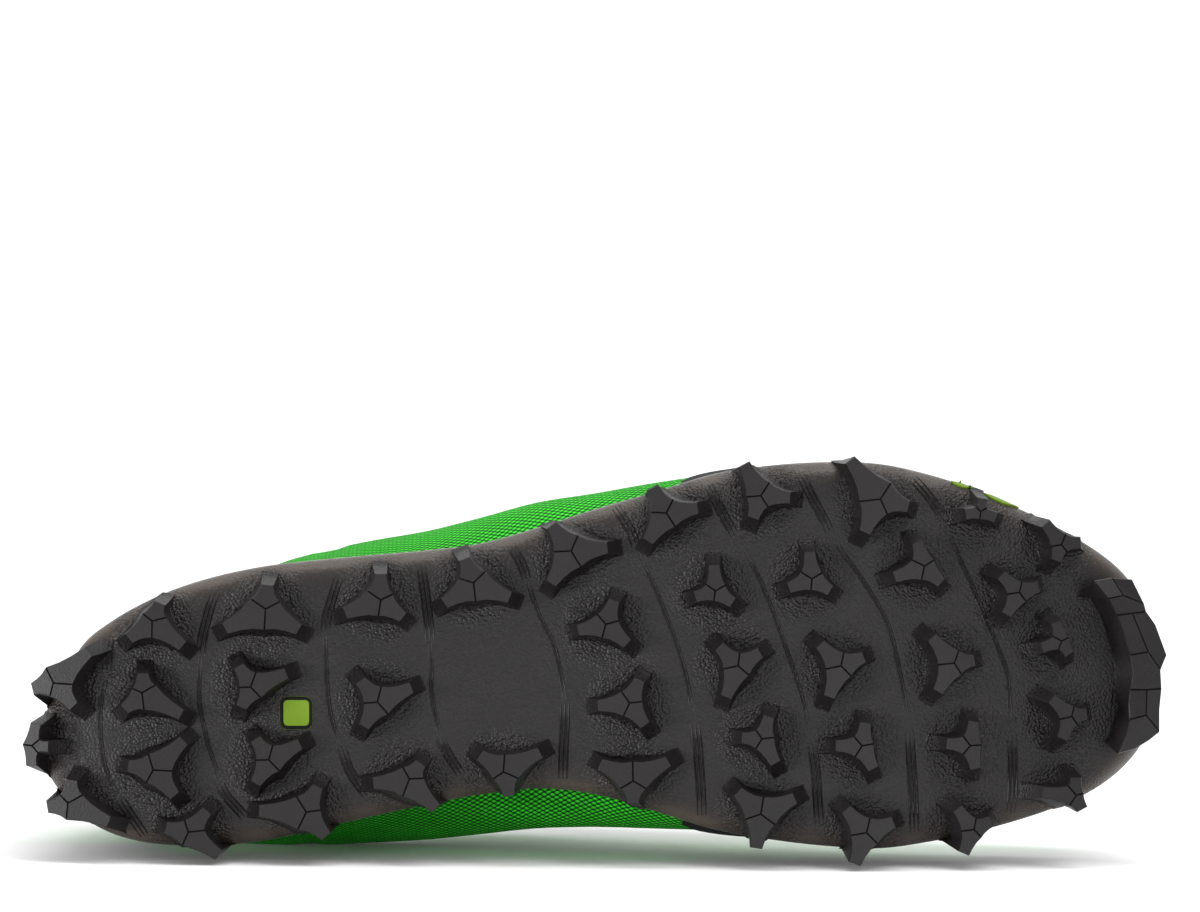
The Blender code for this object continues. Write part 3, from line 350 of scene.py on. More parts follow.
def addModifier(piece, kind, **settings):
    modifier = piece.modifiers.new(kind.lower(), kind)
    for name, value in settings.items():
        setattr(modifier, name, value)


def roundEdges(piece, width, segments=3, angle=0.8):
    addModifier(piece, "BEVEL", width=width, segments=segments, limit_method="ANGLE", angle_limit=angle)


def copyOfNode(node):
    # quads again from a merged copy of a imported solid, in the shoe's frame
    bm = bmesh.new()
    bm.from_mesh(frame["nodes"][node].data)
    bmesh.ops.remove_doubles(bm, verts=bm.verts, dist=weld["coarse"])
    bmesh.ops.join_triangles(bm, faces=bm.faces, angle_face_threshold=0.6, angle_shape_threshold=0.9,
                             cmp_seam=False, cmp_sharp=False, cmp_uvs=False, cmp_vcols=False,
                             cmp_materials=False)
    bm.transform(toFloor.inverted())
    return bm


# materials
def colourOf(code):
    values = [int(code[k:k + 2], 16) / 255 for k in (1, 3, 5)]
    return tuple(v / 12.92 if v <= 0.04045 else ((v + 0.055) / 1.055) ** 2.4 for v in values) + (1.0,)


def addNode(tree, kind, settings=None, inputs=None):
    # an input takes a value, a hex colour, a node (its first output) or a node with the output's name
    node = tree.nodes.new("ShaderNode" + kind)
    for name, value in (settings or {}).items():
        setattr(node, name, value)
    for name, value in (inputs or {}).items():
        source = (value, 0) if isinstance(value, bpy.types.Node) else value
        if isinstance(source, tuple) and isinstance(source[0], bpy.types.Node):
            tree.links.new(source[0].outputs[source[1]], node.inputs[name])
        else:
            node.inputs[name].default_value = colourOf(value) if isinstance(value, str) else value
    return node


def startMaterial(name, roughness, specular=0.5, colour="#808080"):
    material = bpy.data.materials.new(name)
    material.use_nodes = True
    shader = material.node_tree.nodes["Principled BSDF"]
    shader.inputs["Base Color"].default_value = colourOf(colour)
    shader.inputs["Roughness"].default_value = roughness
    shader.inputs["Specular IOR Level"].default_value = specular
    return material, material.node_tree, shader


def finishMaterial(tree, shader, colour, height, depth, roughness=None):
    bump = addNode(tree, "Bump", None, {"Height": height, "Distance": depth, "Strength": 1.0})
    for socket, source in (("Base Color", colour), ("Roughness", roughness), ("Normal", (bump, "Normal"))):
        if source:
            tree.links.new(source[0].outputs[source[1]], shader.inputs[socket])


colours = {"data_type": "RGBA"}             # a mix of two colours: factor 0, colours 6 and 7, output 2
times = {"operation": "MULTIPLY"}
timesPlus = {"operation": "MULTIPLY_ADD"}

# Moulded carbon-black rubber. The flats are satin and nearly black with the mould's fine pebble grain, whose
# crowns are painted paler as painted glints and whose pits are painted darker as painted shade; the rolled
# edge is smoother and glossier, and painted browner and paler as painted light where the lamps catch it.
rubberLook = {"tread": "#100d0e", "worn": "#151213", "side": "#4a413a", "sideDark": "#3a322c",
              "crown": "#312d2c", "pitPaintedShade": "#080707", "pebble": 0.68 * mm, "pebbleDepth": 0.46 * mm,
              "smoothness": 0.35, "dome": 0.9, "domeSpan": (0.25, 0.8), "crownShare": 0.75,
              "fine": 0.45 * mm, "fineDepth": 0.16, "cloud": 14 * mm, "cloudSpan": (0.35, 0.65),
              "leastGrain": 0.55, "rough": (0.36, 0.52), "edgeGloss": 0.68}


def makeRubber():
    look = rubberLook
    material, tree, shader = startMaterial("mouldedRubber", 0.45, 0.29)
    coords = addNode(tree, "TexCoord")
    grain = addNode(tree, "Attribute", {"attribute_name": "grain"})
    side = addNode(tree, "Attribute", {"attribute_name": "side"})
    cloud = addNode(tree, "TexNoise", None, {
        "Vector": (coords, "Object"), "Scale": 1 / look["cloud"], "Detail": 3.0})
    fine = addNode(tree, "TexNoise", None, {
        "Vector": (coords, "Object"), "Scale": 1 / look["fine"], "Detail": 2.0})
    cells = addNode(tree, "TexVoronoi", {"feature": "SMOOTH_F1"}, {
        "Vector": (coords, "Object"), "Scale": 1 / look["pebble"], "Smoothness": look["smoothness"]})
    dome = addNode(tree, "Math", {"operation": "SUBTRACT"}, {0: look["dome"], 1: (cells, "Distance")})
    patchy = addNode(tree, "MapRange", None, {
        "Value": (cloud, "Fac"), "From Min": look["cloudSpan"][0], "From Max": look["cloudSpan"][1],
        "To Min": look["leastGrain"], "To Max": 1.0})
    amount = addNode(tree, "Math", times, {0: (grain, "Fac"), 1: patchy})
    pebbles = addNode(tree, "Math", times, {0: dome, 1: amount})
    height = addNode(tree, "Math", timesPlus, {0: (fine, "Fac"), 1: look["fineDepth"], 2: pebbles})
    flat = addNode(tree, "Mix", colours, {0: (cloud, "Fac"), 6: look["tread"], 7: look["worn"]})
    # painted light: the rolled edge's paler, browner colours stand for the lamps catching the edge
    edge = addNode(tree, "Mix", colours, {0: (cloud, "Fac"), 6: look["sideDark"], 7: look["side"]})
    skin = addNode(tree, "Mix", colours, {0: (side, "Fac"), 6: (flat, 2), 7: (edge, 2)})
    # painted glints on the pebble crowns and painted shade in its pits, mixed in by the grain's amount
    paintedGlintShadeMask = addNode(tree, "MapRange", None, {
        "Value": dome, "From Min": look["domeSpan"][0], "From Max": look["domeSpan"][1]})
    paintedGlintShadeSpeck = addNode(tree, "Mix", colours, {0: paintedGlintShadeMask, 6: look["pitPaintedShade"], 7: look["crown"]})
    shown = addNode(tree, "Math", times, {0: amount, 1: look["crownShare"]})
    colour = addNode(tree, "Mix", colours, {0: shown, 6: (skin, 2), 7: (paintedGlintShadeSpeck, 2)})
    patches = addNode(tree, "MapRange", None, {
        "Value": (cloud, "Fac"), "To Min": look["rough"][0], "To Max": look["rough"][1]})
    glossier = addNode(tree, "MapRange", None, {
        "Value": (side, "Fac"), "To Min": 1.0, "To Max": look["edgeGloss"]})
    rough = addNode(tree, "Math", times, {0: patches, 1: glossier})
    finishMaterial(tree, shader, (colour, 2), height, look["pebbleDepth"], (rough, 0))
    return material


# Polyester basket weave, laid at 45 degrees to the sole: round bright threads dive under each other. The
# colour follows the threads' height: the gaps between them are painted dark as painted shade and the crowns
# paler as a painted highlight.
weaveLook = {"pitch": 1.5 * mm, "depth": 0.42 * mm, "slant": math.radians(45), "bulge": 0.6,
             "ramp": {0.40: "#04200a", 0.66: "#16a01c", 0.95: "#42c42c"},        # gap, thread, crown
             "shade": 9 * mm, "shadeSpan": (0.82, 1.12)}


def makeWeave():
    look = weaveLook
    material, tree, shader = startMaterial("basketWeave", 0.72, 0.12)
    coords = addNode(tree, "TexCoord")
    turned = addNode(tree, "Mapping", None, {
        "Vector": (coords, "UV"), "Rotation": (0, 0, look["slant"]), "Scale": (1 / look["pitch"],) * 3})
    parts = addNode(tree, "SeparateXYZ", None, {0: turned})
    waves = []
    for axis in (0, 1):
        turn = addNode(tree, "Math", times, {0: (parts, axis), 1: math.pi})
        wave = addNode(tree, "Math", {"operation": "SINE"}, {0: turn})
        waves.append(addNode(tree, "Math", {"operation": "ABSOLUTE"}, {0: wave}))
    over = addNode(tree, "TexChecker", None, {
        "Vector": turned, "Scale": 1.0, "Color1": (0, 0, 0, 1), "Color2": (1, 1, 1, 1)})
    threads = []
    for across, along in (waves, waves[::-1]):
        bulge = addNode(tree, "Math", {"operation": "POWER"}, {0: across, 1: look["bulge"]})
        hump = addNode(tree, "Math", timesPlus, {0: along, 1: 0.5, 2: 0.5})
        threads.append(addNode(tree, "Math", times, {0: bulge, 1: hump}))
    height = addNode(tree, "Mix", {"data_type": "FLOAT"}, {0: (over, "Fac"), 2: threads[0], 3: threads[1]})
    # height to colour: gaps painted dark as painted shade, then the thread colour, then crowns painted paler
    # as a painted highlight
    ramp = addNode(tree, "ValToRGB", None, {"Fac": height})
    stops = ramp.color_ramp.elements
    places = sorted(look["ramp"])
    stops[0].position, stops[1].position = places[0], places[2]
    stops.new(places[1])
    for stop, place in zip(stops, places):
        stop.color = colourOf(look["ramp"][place])
    shade = addNode(tree, "TexNoise", None, {"Vector": (coords, "Object"), "Scale": 1 / look["shade"]})
    tired = addNode(tree, "MapRange", None, {
        "Value": (shade, "Fac"), "To Min": look["shadeSpan"][0], "To Max": look["shadeSpan"][1]})
    tinted = addNode(tree, "VectorMath", {"operation": "SCALE"}, {0: ramp, "Scale": tired})
    finishMaterial(tree, shader, (tinted, 0), height, look["depth"])
    return material


def makeGrainy(name, dark, light, roughness, size, depth, specular):
    # a moulded surface with one size of grain under slow, cloudy changes of tone
    cloud, spread = 11 * mm, 0.1
    material, tree, shader = startMaterial(name, roughness, specular)
    coords = addNode(tree, "TexCoord")
    tone = addNode(tree, "TexNoise", None, {"Vector": (coords, "Object"), "Scale": 1 / cloud, "Detail": 4.0})
    grain = addNode(tree, "TexNoise", None, {"Vector": (coords, "Object"), "Scale": 1 / size, "Detail": 3.0})
    mixed = addNode(tree, "Mix", colours, {0: (tone, "Fac"), 6: dark, 7: light})
    rough = addNode(tree, "MapRange", None, {
        "Value": (grain, "Fac"), "To Min": roughness - spread, "To Max": roughness + spread})
    finishMaterial(tree, shader, (mixed, 2), (grain, "Fac"), depth, (rough, 0))
    return material


def makeBraid(name, dark, light, pitch, depth):
    # two slanted sets of threads that meet in a herringbone, on the piece's own UV
    material, tree, shader = startMaterial(name, 0.9, 0.08)
    coords = addNode(tree, "TexCoord")
    parts = addNode(tree, "SeparateXYZ", None, {0: (coords, "UV")})
    across = addNode(tree, "Math", {"operation": "PINGPONG"}, {0: parts, 1: 2 * pitch})
    slant = addNode(tree, "Math", {"operation": "ADD"}, {0: across, 1: (parts, 1)})
    turn = addNode(tree, "Math", times, {0: slant, 1: 2 * math.pi / pitch})
    swing = addNode(tree, "Math", {"operation": "SINE"}, {0: turn})
    wave = addNode(tree, "Math", timesPlus, {0: swing, 1: 0.5, 2: 0.5})
    colour = addNode(tree, "Mix", colours, {0: wave, 6: dark, 7: light})
    finishMaterial(tree, shader, (colour, 2), wave, depth)
    return material


soleRubber = makeRubber()
# the same rubber, darker and less glossy, as painted shade where little light gets in: the valleys of ribs
# and insert read as dark lines
paintedShadeRubber = makeGrainy("paintedShadeGrooveRubber", "#0c0b0b", "#121010", 0.70, 0.30 * mm, 0.05 * mm, 0.10)
greenWeave = makeWeave()
# EVA foam: the mould leaves a matt, softly mottled skin
darkFoam = makeGrainy("mouldedFoam", "#2b2927", "#3a3633", 0.80, 0.50 * mm, 0.10 * mm, 0.50)
# welded TPU film: thin, near black, with a low sheen and hardly any grain
trimFilm = makeGrainy("blackFilm", "#131415", "#1a1b1c", 0.68, 0.35 * mm, 0.06 * mm, 0.18)
# lime rubber of the inlays: even colour, satin
limeRubber = makeGrainy("limeRubber", "#587408", "#64820e", 0.50, 0.80 * mm, 0.04 * mm, 0.25)
# brushed polyester knit of lining, insole and tongue: soft, no gloss, small herringbone
liningCloth = makeBraid("brushedLining", "#1a1b1d", "#2e3033", 1.3 * mm, 0.18 * mm)
# flat polyester braid of the laces and the loop: its slanted threads catch the light one by one
laceBraid = makeBraid("laceBraid", "#0d0e0f", "#2a2b2d", 1.1 * mm, 0.22 * mm)
# twisted sewing thread, a little lighter than the film that it holds
stitchThread = makeBraid("stitchThread", "#1d1e20", "#3b3d40", 0.5 * mm, 0.05 * mm)
print("materials made")

# outsole: the rolled edge's section, in shares of the roll's width and of the rim's rise
ringSplit = 6
rollProfile = {"inset": [1.0, 0.66, 0.38, 0.22, 0.12, 0.03, 0.0, 0.02, 0.05],
               "rise": [0.0, 0.018, 0.07, 0.16, 0.28, 0.46, 0.64, 0.84, 0.97]}


def solePoint(loop, place, height):
    spot = (place % 2.0) / 2 * len(loop)
    k = int(spot) % len(loop)
    x, y = loop[k] + (loop[(k + 1) % len(loop)] - loop[k]) * (spot - int(spot))
    return Vector((x, y, treadHeight(x) + height))


outerLoop = refine(soleLoop, ringSplit)
innerLoop = refine(soleLoop - soleOut * sole["roll"], ringSplit)
shelfLoop = refine(soleLoop - soleOut * 1.25 * sole["rim"], ringSplit)


def onRoll(place, share):
    # share 0 at the tread's flat, 1 at the top of the rim
    steps = np.linspace(0, 1, len(rollProfile["inset"]))
    inset = float(np.clip(spline(steps, rollProfile["inset"], [share])[0], 0, 1))
    rise = float(spline(steps, rollProfile["rise"], [share])[0])
    outer, inner = (solePoint(loop, place, 0) for loop in (outerLoop, innerLoop))
    point = outer.lerp(inner, inset)
    return Vector((point.x, point.y, treadHeight(point.x) + rise * sole["rimRise"]))


treadSheet = {"rollRows": 20, "rollEnd": 0.75, "shelfEnd": 0.95, "columns": 200, "rows": 64,
              "paleFrom": 0.25}


def makeTreadBase(bm):
    side = bm.verts.layers.float.new("side")

    def roll(u, v):
        if v < treadSheet["rollEnd"]:
            return onRoll(2 * u, v / treadSheet["rollEnd"])
        if v < treadSheet["shelfEnd"]:
            return solePoint(shelfLoop, 2 * u, sole["rimRise"])
        return solePoint(innerLoop, 2 * u, sole["skin"])

    # side mask: 0 on the flats, rising up the rolled edge; it carries the edge's painted light and its lower
    # roughness
    for vert in makeSheet(bm, len(outerLoop), treadSheet["rollRows"], roll):
        rise = (vert.co.z - treadHeight(vert.co.x)) / sole["rimRise"]
        vert[side] = float(smoothStep(0.0, treadSheet["paleFrom"], rise))

    def flat(u, v):
        place = math.acos(1 - 2 * u) / math.pi
        lateral, medial = solePoint(innerLoop, place, 0), solePoint(innerLoop, 2 - place, 0)
        point = medial.lerp(lateral, v)
        return Vector((point.x, point.y, treadHeight(point.x)))

    makeSheet(bm, treadSheet["columns"], treadSheet["rows"], flat)


treadBm = bmesh.new()
makeTreadBase(treadBm)
treadTree = BVHTree.FromBMesh(treadBm)


def treadSpot(x, y):
    # place and outward normal on the tread or its rolled edge
    hit, normal, _, _ = treadTree.ray_cast(Vector((x, y, -0.05)), Vector((0, 0, 1)))
    if hit is None:
        hit, normal, _, _ = treadTree.find_nearest(Vector((x, y, treadHeight(x) + 0.5 * sole["rimRise"])))
    return hit, normal if normal.z < 0.3 else -normal


lugShape = {"reach": 10 * mm, "armWidth": 3.2 * mm, "draft": 1.0 * mm, "ramp": 2.7 * mm, "endFlare": 1.25,
            "waist": 0.50, "bends": (0.35, 0.7), "bow": 0.44, "crown": 0.45 * mm, "groove": 0.24 * mm,
            "grooveDepth": 0.40 * mm, "wallShare": 0.88, "fillet": 0.7 * mm, "sink": 1.4 * mm}
# along, across, then three arms: degrees from the toe towards the lateral side, share of the reach
lugs = [
    (0.025, -0.054, (195, 0.61), (41, 1.25), (-49, 0.82)),
    (0.007, -0.215, (80, 0.58), (267, 0.52), (-3, 0.46)),
    (0.037, -0.362, (190, 0.58), (81, 0.62), (-24, 1.19)),
    (0.107, 0.105, (67, 0.52), (217, 0.77), (-39, 1.03)),
    (0.098, -0.079, (88, 0.52), (223, 0.64), (-29, 1.18)),
    (0.108, -0.277, (171, 0.68), (44, 1.11), (-50, 0.88)),
    (0.139, -0.436, (168, 0.61), (49, 0.75), (-37, 0.98)),
    (0.207, 0.136, (85, 0.64), (206, 1.18), (-32, 1.03)),
    (0.194, -0.064, (120, 0.64), (21, 1.00), (245, 0.60)),
    (0.210, -0.251, (123, 0.66), (27, 0.92), (240, 0.72)),
    (0.243, -0.385, (178, 1.24), (66, 0.74), (-50, 0.81)),
    (0.307, 0.159, (90, 0.69), (201, 1.00), (-38, 0.75)),
    (0.304, -0.103, (128, 0.73), (23, 0.98), (241, 0.74)),
    (0.332, -0.300, (186, 0.96), (54, 0.52), (-48, 1.04)),
    (0.390, 0.203, (111, 0.68), (215, 0.94), (-22, 1.03)),
    (0.417, -0.282, (145, 0.77), (28, 1.09), (-76, 0.64)),
    (0.478, 0.285, (128, 0.85), (5, 0.96), (238, 1.01)),
    (0.509, 0.097, (71, 0.67), (192, 0.76), (-42, 0.77)),
    (0.530, -0.105, (67, 0.67), (185, 0.85), (-55, 0.72)),
    (0.533, -0.305, (153, 0.98), (29, 1.06), (270, 0.59)),
    (0.562, 0.382, (118, 0.76), (9, 0.84), (237, 0.89)),
    (0.604, 0.182, (93, 0.69), (196, 0.56), (-34, 0.56)),
    (0.624, -0.010, (134, 0.72), (31, 0.69), (249, 0.88)),
    (0.645, -0.197, (73, 0.62), (177, 0.54), (-61, 0.74)),
    (0.644, -0.390, (136, 0.85), (25, 0.99), (262, 0.89)),
    (0.644, 0.426, (118, 0.93), (-4, 0.78), (251, 0.63)),
    (0.688, 0.213, (95, 0.72), (201, 0.66), (-32, 0.58)),
    (0.713, -0.010, (134, 0.80), (21, 0.66), (249, 0.88)),
    (0.731, -0.215, (81, 0.62), (180, 0.70), (-63, 0.69)),
    (0.735, -0.438, (131, 0.82), (21, 0.78), (249, 0.86)),
    (0.747, 0.418, (128, 1.28), (-15, 0.78), (245, 0.97)),
    (0.785, 0.246, (106, 0.66), (200, 0.85), (-43, 0.64)),
    (0.811, -0.003, (131, 0.90), (8, 0.57), (240, 0.87)),
    (0.825, -0.215, (81, 0.65), (175, 0.65), (-76, 0.64)),
    (0.828, -0.431, (128, 0.71), (25, 0.54), (247, 0.67)),
    (0.834, 0.387, (190, 0.42), (-20, 0.46), (80, 0.36)),
    (0.868, 0.179, (137, 0.68), (16, 0.56), (239, 0.69)),
    (0.905, 0.303, (128, 0.70), (5, 0.56), (252, 0.46)),
    (0.905, 0.054, (106, 0.52), (198, 0.57), (-57, 0.43)),
    (0.914, -0.141, (139, 0.73), (10, 0.45), (246, 0.65)),
    (0.918, -0.344, (175, 0.93), (90, 0.48), (-63, 0.42)),
]


def growBlock(bm, facets, feet, centre, corners, drops):
    # facets: faces of the top. feet: the ground point for each corner of the outline. drops: how far
    # each corner stays below the lug's full height.
    x = centre.x
    slope = (treadHeight(x + mm) - treadHeight(x - mm)) / (2 * mm)
    down = Vector((slope, 0, -1)).normalized()
    base = Vector((x, centre.y, treadHeight(x)))
    along = Vector((0, 1, 0)).cross(-down)
    for vert, drop in zip(corners, drops):
        height = sole["lugHeight"] - lugShape["grooveDepth"] - drop
        vert.co = base + along * vert.co.x + Vector((0, 1, 0)) * vert.co.y + down * height
    for face in facets:
        face.normal_update()
    outline = [vert.co.copy() for vert, foot in zip(corners, feet) if foot is not None]
    ground = [treadSpot(centre.x + foot.x, centre.y + foot.y)[0] for foot in feet if foot is not None]
    collars = bmesh.ops.inset_individual(bm, faces=facets, thickness=lugShape["groove"], depth=0.0,
                                         use_even_offset=True)["faces"]
    raised = {vert for face in facets for vert in face.verts}
    bmesh.ops.translate(bm, verts=list(raised), vec=down * lugShape["grooveDepth"])
    rims = [edge for edge in {edge for face in collars for edge in face.edges} if edge.is_boundary]

    def spread(k, share, flare, sunk):
        away = ground[k] - base
        away.z = 0
        return outline[k].lerp(ground[k], share) + away.normalized() * flare + Vector((0, 0, sunk))

    keep = outline
    steps = ((lugShape["wallShare"], 0.0, 0.0), (1.0, lugShape["fillet"], 0.0), (1.0, 0.0, lugShape["sink"]))
    for share, flare, sunk in steps:
        grown = bmesh.ops.extrude_edge_only(bm, edges=rims)["geom"]
        moved = [item for item in grown if isinstance(item, bmesh.types.BMVert)]
        following = [spread(k, share, flare, sunk) for k in range(len(outline))]
        for vert in moved:
            nearest = min(range(len(keep)), key=lambda k: (keep[k] - vert.co).length_squared)
            vert.co = following[nearest]
        rims = [item for item in grown if isinstance(item, bmesh.types.BMEdge) and item.verts[0] in moved
                and item.verts[1] in moved]
        keep = following
    bmesh.ops.contextual_create(bm, geom=rims)


def addLug(bm, along, across, *arms):
    centre = planPoint(along, across)
    arms = sorted(((-angle) % 360, share) for angle, share in arms)
    reach, count = lugShape["reach"], len(arms)
    ends, gaps = [], []
    for (angle, share), (nextAngle, nextShare) in zip(arms, arms[1:] + arms[:1]):
        heading = Vector((math.cos(math.radians(angle)), math.sin(math.radians(angle))))
        sideways = Vector((-heading.y, heading.x)) * lugShape["armWidth"] / 2
        end = heading * share * reach
        ramp = heading * lugShape["ramp"]
        ends.append([(end + edge, end + ramp + edge * lugShape["endFlare"])
                     for edge in (-sideways, sideways)])
        middle = math.radians(angle + ((nextAngle - angle) % 360) / 2)
        hollow = Vector((math.cos(middle), math.sin(middle)))
        gaps.append(hollow * lugShape["waist"] * (share + nextShare) / 2 * reach)
    corners, feet = [bm.verts.new((0, 0, 0))], [None]

    def corner(point, foot=None):
        corners.append(bm.verts.new((point.x, point.y, 0)))
        feet.append(foot if foot is not None else point + point.normalized() * lugShape["draft"])
        return corners[-1]

    def bend(hollow, end, share):
        return corner(hollow.lerp(end, share) * (1 - lugShape["bow"] * share * (1 - share)))

    hollows = [corner(point) for point in gaps]
    facets = []
    for k in range(count):
        (left, leftFoot), (right, rightFoot) = ends[k]
        face = [corners[0], hollows[k - 1]] + [bend(gaps[k - 1], left, share) for share in lugShape["bends"]]
        face += [corner(left, leftFoot), corner(right, rightFoot)]
        face += [bend(gaps[k], right, share) for share in lugShape["bends"][::-1]] + [hollows[k]]
        facets.append(bm.faces.new(face))
    drops = [lugShape["crown"] * vert.co.xy.length / reach for vert in corners]
    growBlock(bm, facets, feet, centre, corners, drops)


# toe bumper: three lugs run together. Its corners in shares of length and ball width, and its facets.
bumper = {
    "corners": {
        "a0": (0.932, 0.210), "a1": (0.944, 0.164), "ab": (0.953, 0.121), "b1": (0.959, 0.077),
        "b2": (0.965, 0.018), "b3": (0.968, -0.033), "bc": (0.966, -0.072), "c1": (0.964, -0.110),
        "c2": (0.965, -0.149), "c3": (0.961, -0.195), "c4": (0.956, -0.238), "aTop": (0.951, 0.219),
        "aSpike": (0.970, 0.214), "aOut": (0.983, 0.151), "abOut": (0.985, 0.131), "abMid": (0.969, 0.126),
        "ja": (0.959, 0.172), "bOut1": (0.994, 0.097), "bSpike": (1.004, 0.018), "bOut2": (0.999, -0.021),
        "bcOut": (1.000, -0.069), "bcMid": (0.983, -0.072), "jb": (0.983, 0.026), "cOut1": (0.998, -0.123),
        "cSpike": (0.997, -0.182), "cOut2": (0.988, -0.203), "cOut3": (0.974, -0.226), "jc": (0.981, -0.138),
    },
    "facets": ["a0 a1 ja aTop", "aTop ja aOut aSpike", "a1 ab abMid abOut aOut ja",
               "ab b1 b2 jb abMid", "abMid jb bOut2 bSpike bOut1 abOut", "b2 b3 bc bcMid bcOut bOut2 jb",
               "bc c1 c2 jc bcMid", "bcMid jc cSpike cOut1 bcOut", "c2 c3 c4 cOut3 cOut2 cSpike jc"],
    "inside": ["ja", "jb", "jc", "abMid", "bcMid"],      # corners with no wall below them
    "ramps": {"a0": 4.5, "aTop": 4.5, "aSpike": 3.0, "c4": -3.5, "cOut3": -3.5},
    # how far corners stay below the full height, mm
    "drops": {"edge": 2.4, "aSpike": 1.6, "bSpike": 1.8, "cSpike": 1.8, "aTop": 2.2, "a0": 1.6, "c4": 1.6,
              "abMid": 0.9, "bcMid": 0.9, "ab": 0.5, "bc": 0.5},
    "flare": 1.1 * mm,
}


def addBumper(bm):
    spots = {name: planPoint(*spot) for name, spot in bumper["corners"].items()}
    centre = sum(spots.values(), Vector()) / len(spots)
    verts, feet = {}, []
    for name, spot in spots.items():
        point = (spot - centre).xy
        verts[name] = bm.verts.new((point.x, point.y, 0))
        outward = Vector((1 if "Out" in name or "Spike" in name else -1, 0)) * bumper["flare"]
        outward.y += bumper["ramps"].get(name, 0) * mm
        feet.append(None if name in bumper["inside"] else point + outward)
    facets = [bm.faces.new([verts[name] for name in facet.split()]) for facet in bumper["facets"]]
    heights = bumper["drops"]
    drops = [(heights["edge"] if "Out" in name else heights.get(name, 0)) * mm for name in spots]
    growBlock(bm, facets, feet, centre, list(verts.values()), drops)


# flex grooves: two fine beads with a valley strip in the middle of a line, three ribs with two valley strips
# at its ends. The valley strips are painted shade: thin dark ribbons of the painted shade rubber where the
# groove's shade falls.
flexRibs = {"beadWidth": 0.50 * mm, "beadHeight": 0.26 * mm, "beadApart": 0.85 * mm,
            "valleyWidth": 0.42 * mm, "valleyHeight": 0.12 * mm, "ribWidth": 0.62 * mm,
            "ribHeight": 0.42 * mm, "ribApart": 1.05 * mm, "step": 2.2 * mm, "sunk": 0.08 * mm,
            "endHeight": 0.15, "endSlope": 4, "rows": 4}
# places of a line from edge to edge, and the shares of it that open into ribs
flexLines = [
    (((0.067, 0.064), (0.065, -0.028), (0.059, -0.131), (0.062, -0.251), (0.072, -0.328), (0.084, -0.385),
      (0.101, -0.459)), 0.12, 0.20),
    (((0.162, 0.185), (0.155, 0.128), (0.149, 0.041), (0.147, -0.092), (0.153, -0.190), (0.161, -0.267),
      (0.168, -0.333), (0.188, -0.400)), 0.25, 0.16),
    (((0.271, 0.223), (0.265, 0.169), (0.259, 0.092), (0.260, -0.041), (0.263, -0.131), (0.274, -0.231),
      (0.282, -0.290), (0.297, -0.349)), 0.22, 0.22),
    (((0.342, 0.267), (0.348, 0.159), (0.352, 0.038), (0.353, -0.079), (0.360, -0.185), (0.366, -0.231),
      (0.379, -0.290)), 0.34, 0.16),
    (((0.421, 0.310), (0.432, 0.256), (0.440, 0.190), (0.448, 0.121), (0.461, 0.044), (0.469, -0.059),
      (0.471, -0.115), (0.470, -0.226), (0.469, -0.321)), 0.16, 0.32),
    (((0.513, 0.415), (0.529, 0.338), (0.540, 0.256), (0.555, 0.162), (0.574, 0.010), (0.583, -0.105),
      (0.589, -0.226), (0.593, -0.415)), 0.14, 0.30),
    (((0.596, 0.472), (0.612, 0.374), (0.624, 0.313), (0.645, 0.205), (0.674, -0.023), (0.686, -0.151),
      (0.693, -0.277), (0.697, -0.436)), 0.16, 0.24),
    (((0.679, 0.492), (0.695, 0.397), (0.715, 0.292), (0.733, 0.221), (0.755, 0.113), (0.764, 0.031),
      (0.774, -0.123), (0.779, -0.277), (0.782, -0.459)), 0.15, 0.26),
    (((0.778, 0.482), (0.798, 0.415), (0.811, 0.338), (0.831, 0.210), (0.857, 0.033), (0.865, -0.041),
      (0.868, -0.164), (0.870, -0.277), (0.868, -0.410)), 0.14, 0.22),
]


def addRidge(bm, path, width, height, slot=0):
    # half-round bead on the tread; its ends run out flat
    steps = len(path) - 1
    spots = [treadSpot(point.x, point.y) for point in path]

    def place(share, over):
        k = round(share * steps)
        spot, normal = spots[k]
        run = (path[min(k + 1, steps)] - path[max(k - 1, 0)]).normalized()
        side = run.cross(normal).normalized()
        ends = min(1.0, flexRibs["endSlope"] * min(share, 1 - share) + flexRibs["endHeight"])
        lift = math.sin(math.pi * over) * height * ends - flexRibs["sunk"]
        return spot + side * (over - 0.5) * width + normal * lift

    for face in {face for vert in makeSheet(bm, steps, flexRibs["rows"], place) for face in vert.link_faces}:
        face.material_index = slot


def addFlexLine(bm, points, topShare, bottomShare):
    ribs = flexRibs
    places = [planPoint(*point) for point in points]
    length = sum((b - a).length for a, b in zip(places, places[1:]))
    count = int(length / ribs["step"]) + 1
    path = alongPath(places, count)

    def addRidges(start, stop, offsets, width, height, slot=0):
        for offset in offsets:
            line = []
            for k in range(max(start, 0), min(stop, count - 1) + 1):
                run = path[min(k + 1, count - 1)] - path[max(k - 1, 0)]
                line.append(path[k] + Vector((-run.y, run.x, 0)).normalized() * offset)
            addRidge(bm, line, width, height, slot)

    top, bottom = int(count * topShare), int(count * (1 - bottomShare))
    beadsAt = [side * ribs["beadApart"] for side in (-0.5, 0.5)]
    valleysAt, ribsAt = ([side * ribs["ribApart"] for side in sides] for sides in ((-0.5, 0.5), (-1, 0, 1)))
    addRidges(top, bottom, beadsAt, ribs["beadWidth"], ribs["beadHeight"])
    # slot 1: the valley strips take the painted shade rubber
    addRidges(top, bottom, [0], ribs["valleyWidth"], ribs["valleyHeight"], 1)
    for start, stop in ((0, top + 1), (bottom - 1, count - 1)):
        addRidges(start, stop, valleysAt, ribs["valleyWidth"], ribs["valleyHeight"], 1)
        addRidges(start, stop, ribsAt, ribs["ribWidth"], ribs["ribHeight"])


for lug in lugs:
    addLug(treadBm, *lug)
addBumper(treadBm)
for line in flexLines:
    addFlexLine(treadBm, *line)

